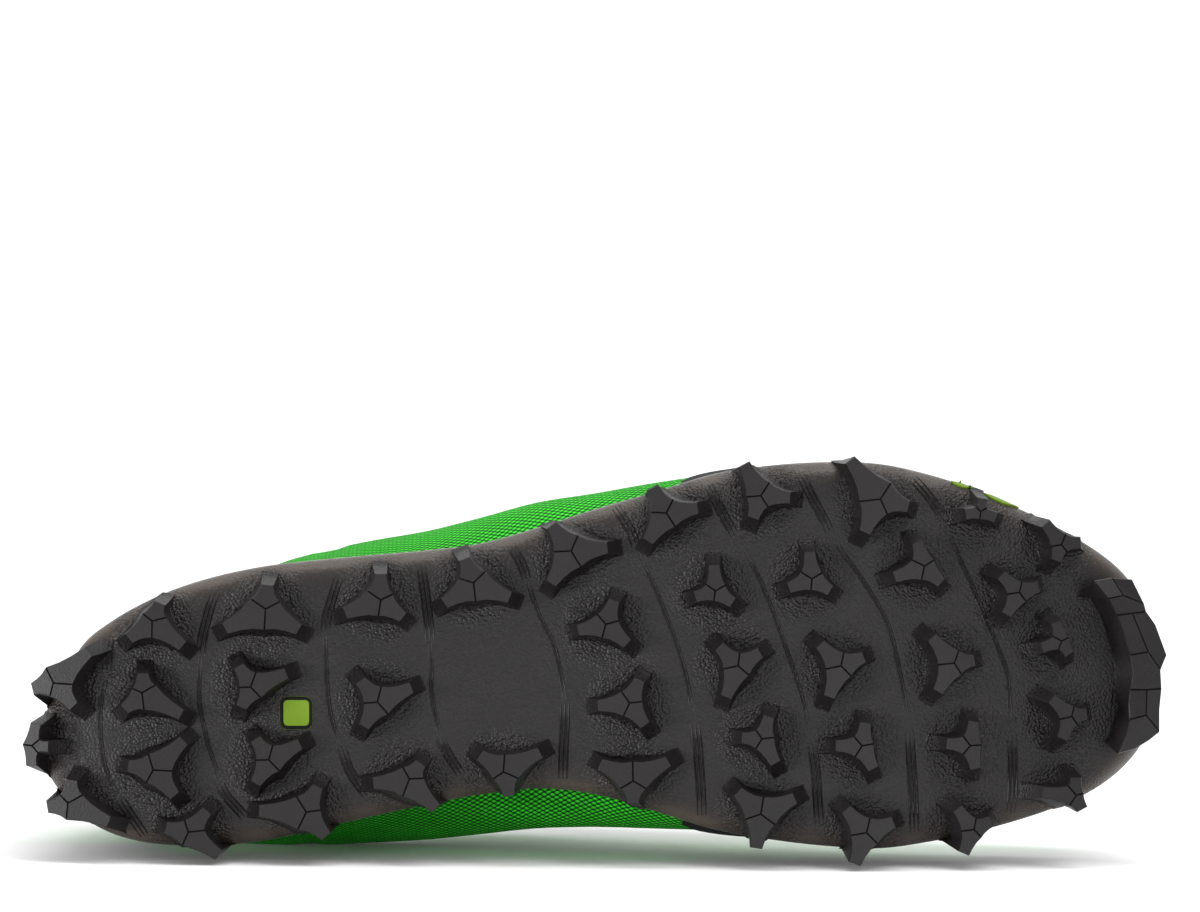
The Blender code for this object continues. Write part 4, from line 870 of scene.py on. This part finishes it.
# the pebble grain is strongest in the open flats round the lugs and ends on their walls
grainReach = {"least": 0.32, "full": 9.0 * mm, "faint": 13.0 * mm, "wallStart": 1.0 * mm,
              "wallEnd": 2.2 * mm}
grainLayer = treadBm.verts.layers.float.new("grain")
lugSpots = np.array([planPoint(*lug[:2]).xy for lug in lugs])
for vert in treadBm.verts:
    nearest = float(np.linalg.norm(lugSpots - np.array(vert.co.xy), axis=1).min())
    rise = treadHeight(vert.co.x) - vert.co.z
    onLug = smoothStep(grainReach["wallStart"], grainReach["wallEnd"], rise)
    close = 1 - smoothStep(grainReach["full"], grainReach["faint"], nearest)
    vert[grainLayer] = float((grainReach["least"] + (1 - grainReach["least"]) * close) * (1 - onLug))
finishPiece("treadRubber", treadBm, [soleRubber, paintedShadeRubber], ("outsole",), sharp=32)
print("outsole made")

# lime plug in the heel: a rounded square, its field a little below its border; the border is painted dark
# with the painted shade rubber, as painted shade of the recess
plug = {"along": 0.233, "across": -0.131, "size": 8.6 * mm, "border": 1.0 * mm, "thick": 1.6 * mm,
        "proud": 0.35 * mm, "corner": 0.24, "sunk": 0.25 * mm, "round": 0.2 * mm}


def makePlug():
    spot = planPoint(plug["along"], plug["across"])
    bm = bmesh.new()
    bmesh.ops.create_cube(bm, size=1.0)
    bmesh.ops.scale(bm, vec=(plug["size"], plug["size"], plug["thick"]), verts=bm.verts)
    upright = [edge for edge in bm.edges if abs(edge.verts[0].co.z - edge.verts[1].co.z) > plug["thick"] / 2]
    bmesh.ops.bevel(bm, geom=upright, offset=plug["corner"] * plug["size"], segments=6, profile=0.5,
                    affect="EDGES", material=-1)
    front = min(bm.faces, key=lambda face: face.calc_center_median().z)
    ring = bmesh.ops.inset_region(bm, faces=[front], thickness=plug["border"], depth=0.0)["faces"]
    bmesh.ops.translate(bm, verts=list(front.verts), vec=(0, 0, plug["sunk"]))
    # the sloping ring round the sunk field takes the painted shade rubber
    for face in ring:
        face.material_index = 1
    height = treadHeight(spot.x) - plug["proud"] + plug["thick"] / 2
    bmesh.ops.translate(bm, vec=(spot.x, spot.y, height), verts=bm.verts)
    piece = finishPiece("limePlug", bm, [limeRubber, paintedShadeRubber], ("heel_plug",), recalc=True)
    roundEdges(piece, plug["round"], 2)


makePlug()
# two plain lime inlays on the lateral rolled edge of the toe; low and high are shares of the roll
limeBars = {"spans": [(0.720, 0.734), (0.745, 0.768)], "low": 0.55, "high": 0.76, "thick": 0.45 * mm,
            "lean": 0.006, "taper": 0.7, "facing": (0.35, -0.8, -0.45), "round": 0.25 * mm}


def makeBars():
    bm = bmesh.new()
    middle, half = (limeBars["low"] + limeBars["high"]) / 2, (limeBars["high"] - limeBars["low"]) / 2
    out = Vector(limeBars["facing"]).normalized() * limeBars["thick"]
    for start, stop in limeBars["spans"]:
        def place(u, v):
            taper = 1 - limeBars["taper"] * abs(2 * u - 1) ** 3
            spot = start + (stop - start) * u + limeBars["lean"] * (v - 0.5)
            return onRoll(spot, middle + half * taper * (2 * v - 1)) + out

        makeSheet(bm, 10, 5, place)
    piece = finishPiece("limeBars", bm, [limeRubber])
    addModifier(piece, "SOLIDIFY", thickness=2 * limeBars["thick"], offset=-1)
    roundEdges(piece, limeBars["round"])


makeBars()

# midsole and insole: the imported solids, with the soft edges of foam
midsole = finishPiece("foamMidsole", copyOfNode("midsole"), [darkFoam], ("midsole",))
roundEdges(midsole, 0.5 * mm, 2, 0.6)
insole = finishPiece("sockliner", copyOfNode("insole"), [liningCloth], ("insole",))
roundEdges(insole, 0.6 * mm, 3, 0.6)
print("midsole and insole made")

# woven upper: up the outside, over the topline's rim and down the inside
shell = {"outerRows": 46, "rimRows": 6, "innerRows": 26, "rimLift": 0.45, "clothHeight": 95 * mm,
         "padding": (0.40, 0.90)}


def wallAt(place, climb, total):
    pad = loopValue(padShare, place) * upperWall["collarPad"]
    return upperWall["wall"] + pad * float(smoothStep(*shell["padding"], climb / total))


def shellPoint(place, row):
    total = topArc(place)
    outer, rim, inner = shell["outerRows"], shell["rimRows"], shell["innerRows"]
    if row <= outer:
        return onUpper(place, total * row / outer)
    if row < outer + rim:
        top, inside = onUpper(place, total), onUpper(place, total, -wallAt(place, total, total))
        turn = math.pi * (row - outer) / rim
        lift = math.sin(turn) * shell["rimLift"] * (top - inside).length
        return top.lerp(inside, (1 - math.cos(turn)) / 2) + Vector((0, 0, lift))
    climb = total * (1 - (row - outer - rim) / inner)
    return onUpper(place, climb, -wallAt(place, climb, total))


def makeShell():
    rows = shell["outerRows"] + shell["rimRows"] + shell["innerRows"]
    bm = bmesh.new()
    verts = makeSheet(bm, rayCount, rows, lambda u, v: shellPoint(2 * u, round(v * rows)),
                      lambda u, v: (girthAt(2 * u), v * rows / shell["outerRows"] * shell["clothHeight"]))
    bm.verts.ensure_lookup_table()
    order = {vert: number for number, vert in enumerate(verts)}
    for face in bm.faces:
        row = max(order[vert] // (rayCount + 1) for vert in face.verts)
        face.material_index = 1 if row > shell["outerRows"] + 2 else 0
    bmesh.ops.remove_doubles(bm, verts=bm.verts, dist=weld["fine"])
    bmesh.ops.bridge_loops(bm, edges=[edge for edge in bm.edges if edge.is_boundary])
    return finishPiece("wovenUpper", bm, [greenWeave, liningCloth], ("upper",), sharp=60)


makeShell()
print("upper made")


# trim on the upper
gap = shoe["gap"]
trim = {"thick": 1.2 * mm, "round": 0.35 * mm, "eyestay": 15 * mm, "endShare": 0.16, "endHeight": 0.55}


def makeBand(name, stands, start, stop, columns, rows, low, high, lift=gap, thick=trim["thick"]):
    # a strip of film on the upper; low and high give its two edges, in metres up the surface
    bm = bmesh.new()

    def place(u, v):
        spot = start + (stop - start) * u
        bottom, top = low(spot), high(spot, u)
        return onUpper(spot, bottom + (top - bottom) * v, lift + thick)

    makeSheet(bm, columns, rows, place, lambda u, v: (girthAt((start + (stop - start) * u) % 2), v * 0.03))
    piece = finishPiece(name, bm, [trimFilm], stands, merge=False)
    addModifier(piece, "SOLIDIFY", thickness=thick, offset=-1)
    roundEdges(piece, trim["round"])


def trimTop(spot, u):
    # the trim's upper edge, which rounds down at the band's two ends
    close = min(u, 1 - u)
    rounding = math.sqrt(1 - (1 - min(1.0, close / trim["endShare"])) ** 2)
    return loopValue(trimHeight, spot) * (trim["endHeight"] + (1 - trim["endHeight"]) * rounding)


toeStart = 16 / stations + 1 / 60
heelEnd = 6 / stations
throat = 13 / stations
makeBand("toeRand", ("toe_rand",), toeStart, 2 - toeStart, 150, 14, lambda s: 0.0, trimTop)
makeBand("heelCounter", ("heel_counter",), -heelEnd, heelEnd, 90, 16, lambda s: 0.0, trimTop)
makeBand("eyestayFilm", ("eyestay",), throat, 2 - throat, 150, 8,
         lambda s: topArc(s) - trim["eyestay"], lambda s, u: topArc(s))
makeBand("toplineBinding", (), -throat, throat, 170, 5,
         lambda s: topArc(s) - 6 * mm, lambda s, u: topArc(s) - 0.2 * mm, 0.05 * mm, 0.5 * mm)
makeBand("featherSeam", (), 0.0, 1.9999, 300, 4,
         lambda s: 0.2 * mm, lambda s, u: 2.4 * mm, gap * 0.5, 0.7 * mm)
print("trim made")

# stitches: a run of short threads beside an edge; below is how far the run stays under the topline
filmTop = gap + trim["thick"]
stitch = {"length": 2.2 * mm, "space": 0.7 * mm, "thick": 0.42 * mm, "halfShare": 0.35, "overlap": 1.05}
stitchRuns = {
    "eyestayStitchLateral": (throat + 0.02, 0.985, trim["eyestay"] - 1.6 * mm, filmTop),
    "eyestayStitchMedial": (1.015, 1.98 - throat, trim["eyestay"] - 1.6 * mm, filmTop),
    "collarStitchLateral": (0.01, throat - 0.01, 4.8 * mm, 0.5 * mm),
    "collarStitchMedial": (2.01 - throat, 1.99, 4.8 * mm, 0.5 * mm),
}


def makeStitches(name, start, stop, below, lift):
    count = int((girthAt(stop) - girthAt(start)) / (stitch["length"] + stitch["space"]))
    bm = bmesh.new()
    for k in range(count):
        spot = start + (stop - start) * (k + 0.5) / count
        step = (stop - start) * stitch["halfShare"] / count
        ends = [onUpper(place, topArc(place) - below, lift) for place in (spot - step, spot + step)]
        run = ends[1] - ends[0]
        made = bmesh.ops.create_uvsphere(bm, u_segments=6, v_segments=4, radius=0.5)["verts"]
        turn = run.to_track_quat("Z", "Y").to_matrix().to_4x4()
        size = Matrix.Diagonal((stitch["thick"], stitch["thick"], run.length * stitch["overlap"], 1))
        bmesh.ops.transform(bm, matrix=Matrix.Translation((ends[0] + ends[1]) / 2) @ turn @ size, verts=made)
    return finishPiece(name, bm, [stitchThread], merge=False)


for name, run in stitchRuns.items():
    makeStitches(name, *run)

# tongue, eyelets, laces
tongue = finishPiece("paddedTongue", copyOfNode("tongue"), [liningCloth], ("tongue",))
roundEdges(tongue, 1.2 * mm, 3, 0.6)
addModifier(tongue, "SUBSURF", levels=1, render_levels=1)

lace = {"width": 6 * mm, "thick": 1.3 * mm, "arch": 8.2 * mm, "lift": 0.8 * mm, "flatness": 4.6,
        "places": [24, 22, 20, 18, 16, 14], "inset": 10 * mm, "dive": 3.2 * mm, "steps": 26,
        "tuck": 0.4 * mm, "spots": 44, "lean": 0.9, "sides": 10, "cross": 1.05}
eyelet = {"radius": 3.0 * mm, "ring": 0.8 * mm, "proud": 0.1 * mm}


def laceSpot(place, lift):
    return onUpper(place, topArc(place) - lace["inset"], lift)


def makeEyelets():
    bm = bmesh.new()
    upright = Matrix.Translation((eyelet["radius"], 0, 0)) @ Matrix.Rotation(math.pi / 2, 4, "X")
    for number in lace["places"]:
        for place in (number / stations, 2 - number / stations):
            centre = laceSpot(place, filmTop)
            normal = (laceSpot(place, filmTop + mm) - centre).normalized()
            known = set(bm.verts)
            circle = bmesh.ops.create_circle(bm, cap_ends=False, segments=8, radius=eyelet["ring"] / 2,
                                             matrix=upright)["verts"]
            edges = list({edge for vert in circle for edge in vert.link_edges})
            bmesh.ops.spin(bm, geom=circle + edges, cent=(0, 0, 0), axis=(0, 0, 1), dvec=(0, 0, 0),
                           angle=2 * math.pi, steps=20, use_merge=True, use_duplicate=False)
            ring = [vert for vert in bm.verts if vert not in known]
            spot = Matrix.Translation(centre + normal * eyelet["proud"])
            turn = normal.to_track_quat("Z", "Y").to_matrix().to_4x4()
            bmesh.ops.transform(bm, matrix=spot @ turn, verts=ring)
    return finishPiece("eyeletRings", bm, [trimFilm], recalc=True)


makeEyelets()


def crossing(start, end, lift):
    # up through one eyelet, over the tongue and down into the other
    first, last = laceSpot(start, lift), laceSpot(end, lift)
    across = (last - first).normalized()
    centres = [laceSpot(start, -lace["dive"]) + across * lace["tuck"]]
    for step in range(lace["steps"] + 1):
        t = step / lace["steps"]
        rise = lace["arch"] * (1 - abs(2 * t - 1) ** lace["flatness"])
        centres.append(first.lerp(last, t) + Vector((0, 0, rise)))
    centres.append(laceSpot(end, -lace["dive"]) - across * lace["tuck"])
    centres = alongPath(centres, lace["spots"])
    ups = []
    for k in range(len(centres)):
        share = k / (len(centres) - 1)
        lean = lace["lean"] * (abs(2 * share - 1) ** 9) * (1 if share > 0.5 else -1)
        ups.append((Vector((0, 0, 1)) + across * lean).normalized())
    return centres, ups


def makeRibbon(bm, centres, ups):
    # a flat cord with round edges along a row of centres; its UV runs in metres along it
    steps = len(centres) - 1
    arc = np.concatenate([[0], np.cumsum([(b - a).length for a, b in zip(centres, centres[1:])])])

    def place(share, along):
        k = round(along * steps)
        run = (centres[min(k + 1, steps)] - centres[max(k - 1, 0)]).normalized()
        side = run.cross(ups[k]).normalized()
        rise = side.cross(run)
        turn = -2 * math.pi * share
        c, s = math.cos(turn), math.sin(turn)
        return (centres[k] + side * math.copysign(abs(c) ** 0.6, c) * lace["width"] / 2
                + rise * math.copysign(abs(s) ** 0.8, s) * lace["thick"] / 2)

    verts = makeSheet(bm, lace["sides"], steps, place, lambda u, v: (u * 2 * lace["width"], v * arc[-1]))
    bmesh.ops.remove_doubles(bm, verts=verts, dist=weld["coarse"])
    edges = {edge for vert in verts if vert.is_valid for edge in vert.link_edges}
    rims = [edge for edge in edges if edge.is_boundary]
    bmesh.ops.holes_fill(bm, edges=rims, sides=lace["sides"] + 2)


def makeLaces():
    bm = bmesh.new()
    lift = filmTop + gap + lace["lift"] + lace["thick"] / 2
    places = [number / stations for number in lace["places"]]
    runs = [(places[0], 2 - places[0], lift)]
    for low, high in zip(places, places[1:]):
        runs += [(low, 2 - high, lift), (high, 2 - low, lift + lace["cross"] * lace["thick"])]
    for run in runs:
        makeRibbon(bm, *crossing(*run))
    return finishPiece("flatLaces", bm, [laceBraid], ("laces",), sharp=60)


makeLaces()
heelLoop = finishPiece("heelLoop", copyOfNode("pull_loop"), [laceBraid], ("pull_loop",))
roundEdges(heelLoop, 0.3 * mm, 2)
addModifier(heelLoop, "SUBSURF", levels=2, render_levels=2)
print("tongue, eyelets and laces made")

# floor, light and camera: a sweep of matt white paper
studio = {"floor": "#f2f2f2", "deep": 2.4, "wide": 4.0, "bend": 0.5, "rise": 3.0, "air": 0.88}


def makeFloor():
    material = startMaterial("mattPaper", 0.9, 0.1, studio["floor"])[0]
    deep, bend = studio["deep"], studio["bend"]
    bm = bmesh.new()

    def place(u, v):
        x = (u - 0.5) * 2 * studio["wide"]
        run = v * (deep * 2 + studio["rise"])
        flat = deep * 2 - bend
        if run < flat:
            return Vector((x, run - deep, 0))
        turn = (run - flat) / bend
        if turn < math.pi / 2:
            return Vector((x, deep - bend + math.sin(turn) * bend, bend * (1 - math.cos(turn))))
        return Vector((x, deep, bend + (turn - math.pi / 2) * bend))

    makeSheet(bm, 4, 80, place)
    makeObject("paperSweep", bm, [material])


makeFloor()
lamps = {
    "softboxAbove": {"at": (0.45, -0.45, 0.95), "to": (0.0, 0.0, 0.03), "size": (0.6, 0.5), "power": 3.5},
    "stripAbove": {"at": (0.0, -0.10, 0.8), "to": (0.0, -0.04, 0.0), "size": (0.7, 0.16), "power": 2.6},
    "fillLeft": {"at": (-0.95, -0.85, 0.08), "to": (0.0, 0.0, 0.03), "size": (0.5, 0.12), "power": 11},
    "fillRight": {"at": (0.35, -1.15, 0.05), "to": (0.05, 0.0, 0.02), "size": (0.5, 0.08), "power": 2},
    "washBack": {"at": (0.0, 1.0, 1.9), "to": (0.0, 2.3, 0.5), "size": (3.0, 0.8), "power": 30},
}
for name, lamp in lamps.items():
    light = bpy.data.lights.new(name, "AREA")
    light.shape = "RECTANGLE"
    light.size, light.size_y = lamp["size"]
    light.energy = lamp["power"]
    holder = bpy.data.objects.new(name, light)
    holder.location = lamp["at"]
    holder.rotation_euler = (Vector(lamp["to"]) - Vector(lamp["at"])).to_track_quat("-Z", "Y").to_euler()
    bpy.context.collection.objects.link(holder)
world = bpy.data.worlds.new("studioAir")
world.use_nodes = True
world.node_tree.nodes["Background"].inputs["Color"].default_value = (1, 1, 1, 1)
world.node_tree.nodes["Background"].inputs["Strength"].default_value = studio["air"]
bpy.context.scene.world = world
bpy.context.scene.view_settings.view_transform = "Standard"

# the photograph's view: square onto the sole, a little more room above the shoe than below
view = {"lens": 200, "sensor": 36, "distance": 1.7176, "along": 0.5022, "imageWidth": 1200,
        "soleLine": 662, "middle": 456}
cameraData = bpy.data.cameras.new("photoCamera")
cameraData.lens, cameraData.sensor_width = view["lens"], view["sensor"]
cameraData.shift_y = (view["soleLine"] - view["middle"]) / view["imageWidth"]
cameraData.clip_start = 0.02
camera = bpy.data.objects.new("photoCamera", cameraData)
spot = toFloor @ Vector((view["along"] * shoe["length"], 0, -view["distance"]))
forward, side, up = (toFloor.to_3x3().col[k] for k in range(3))
camera.matrix_world = Matrix.Translation(spot) @ Matrix((forward, -side, -up)).transposed().to_4x4()
bpy.context.collection.objects.link(camera)
bpy.context.scene.camera = camera
print("studio made")
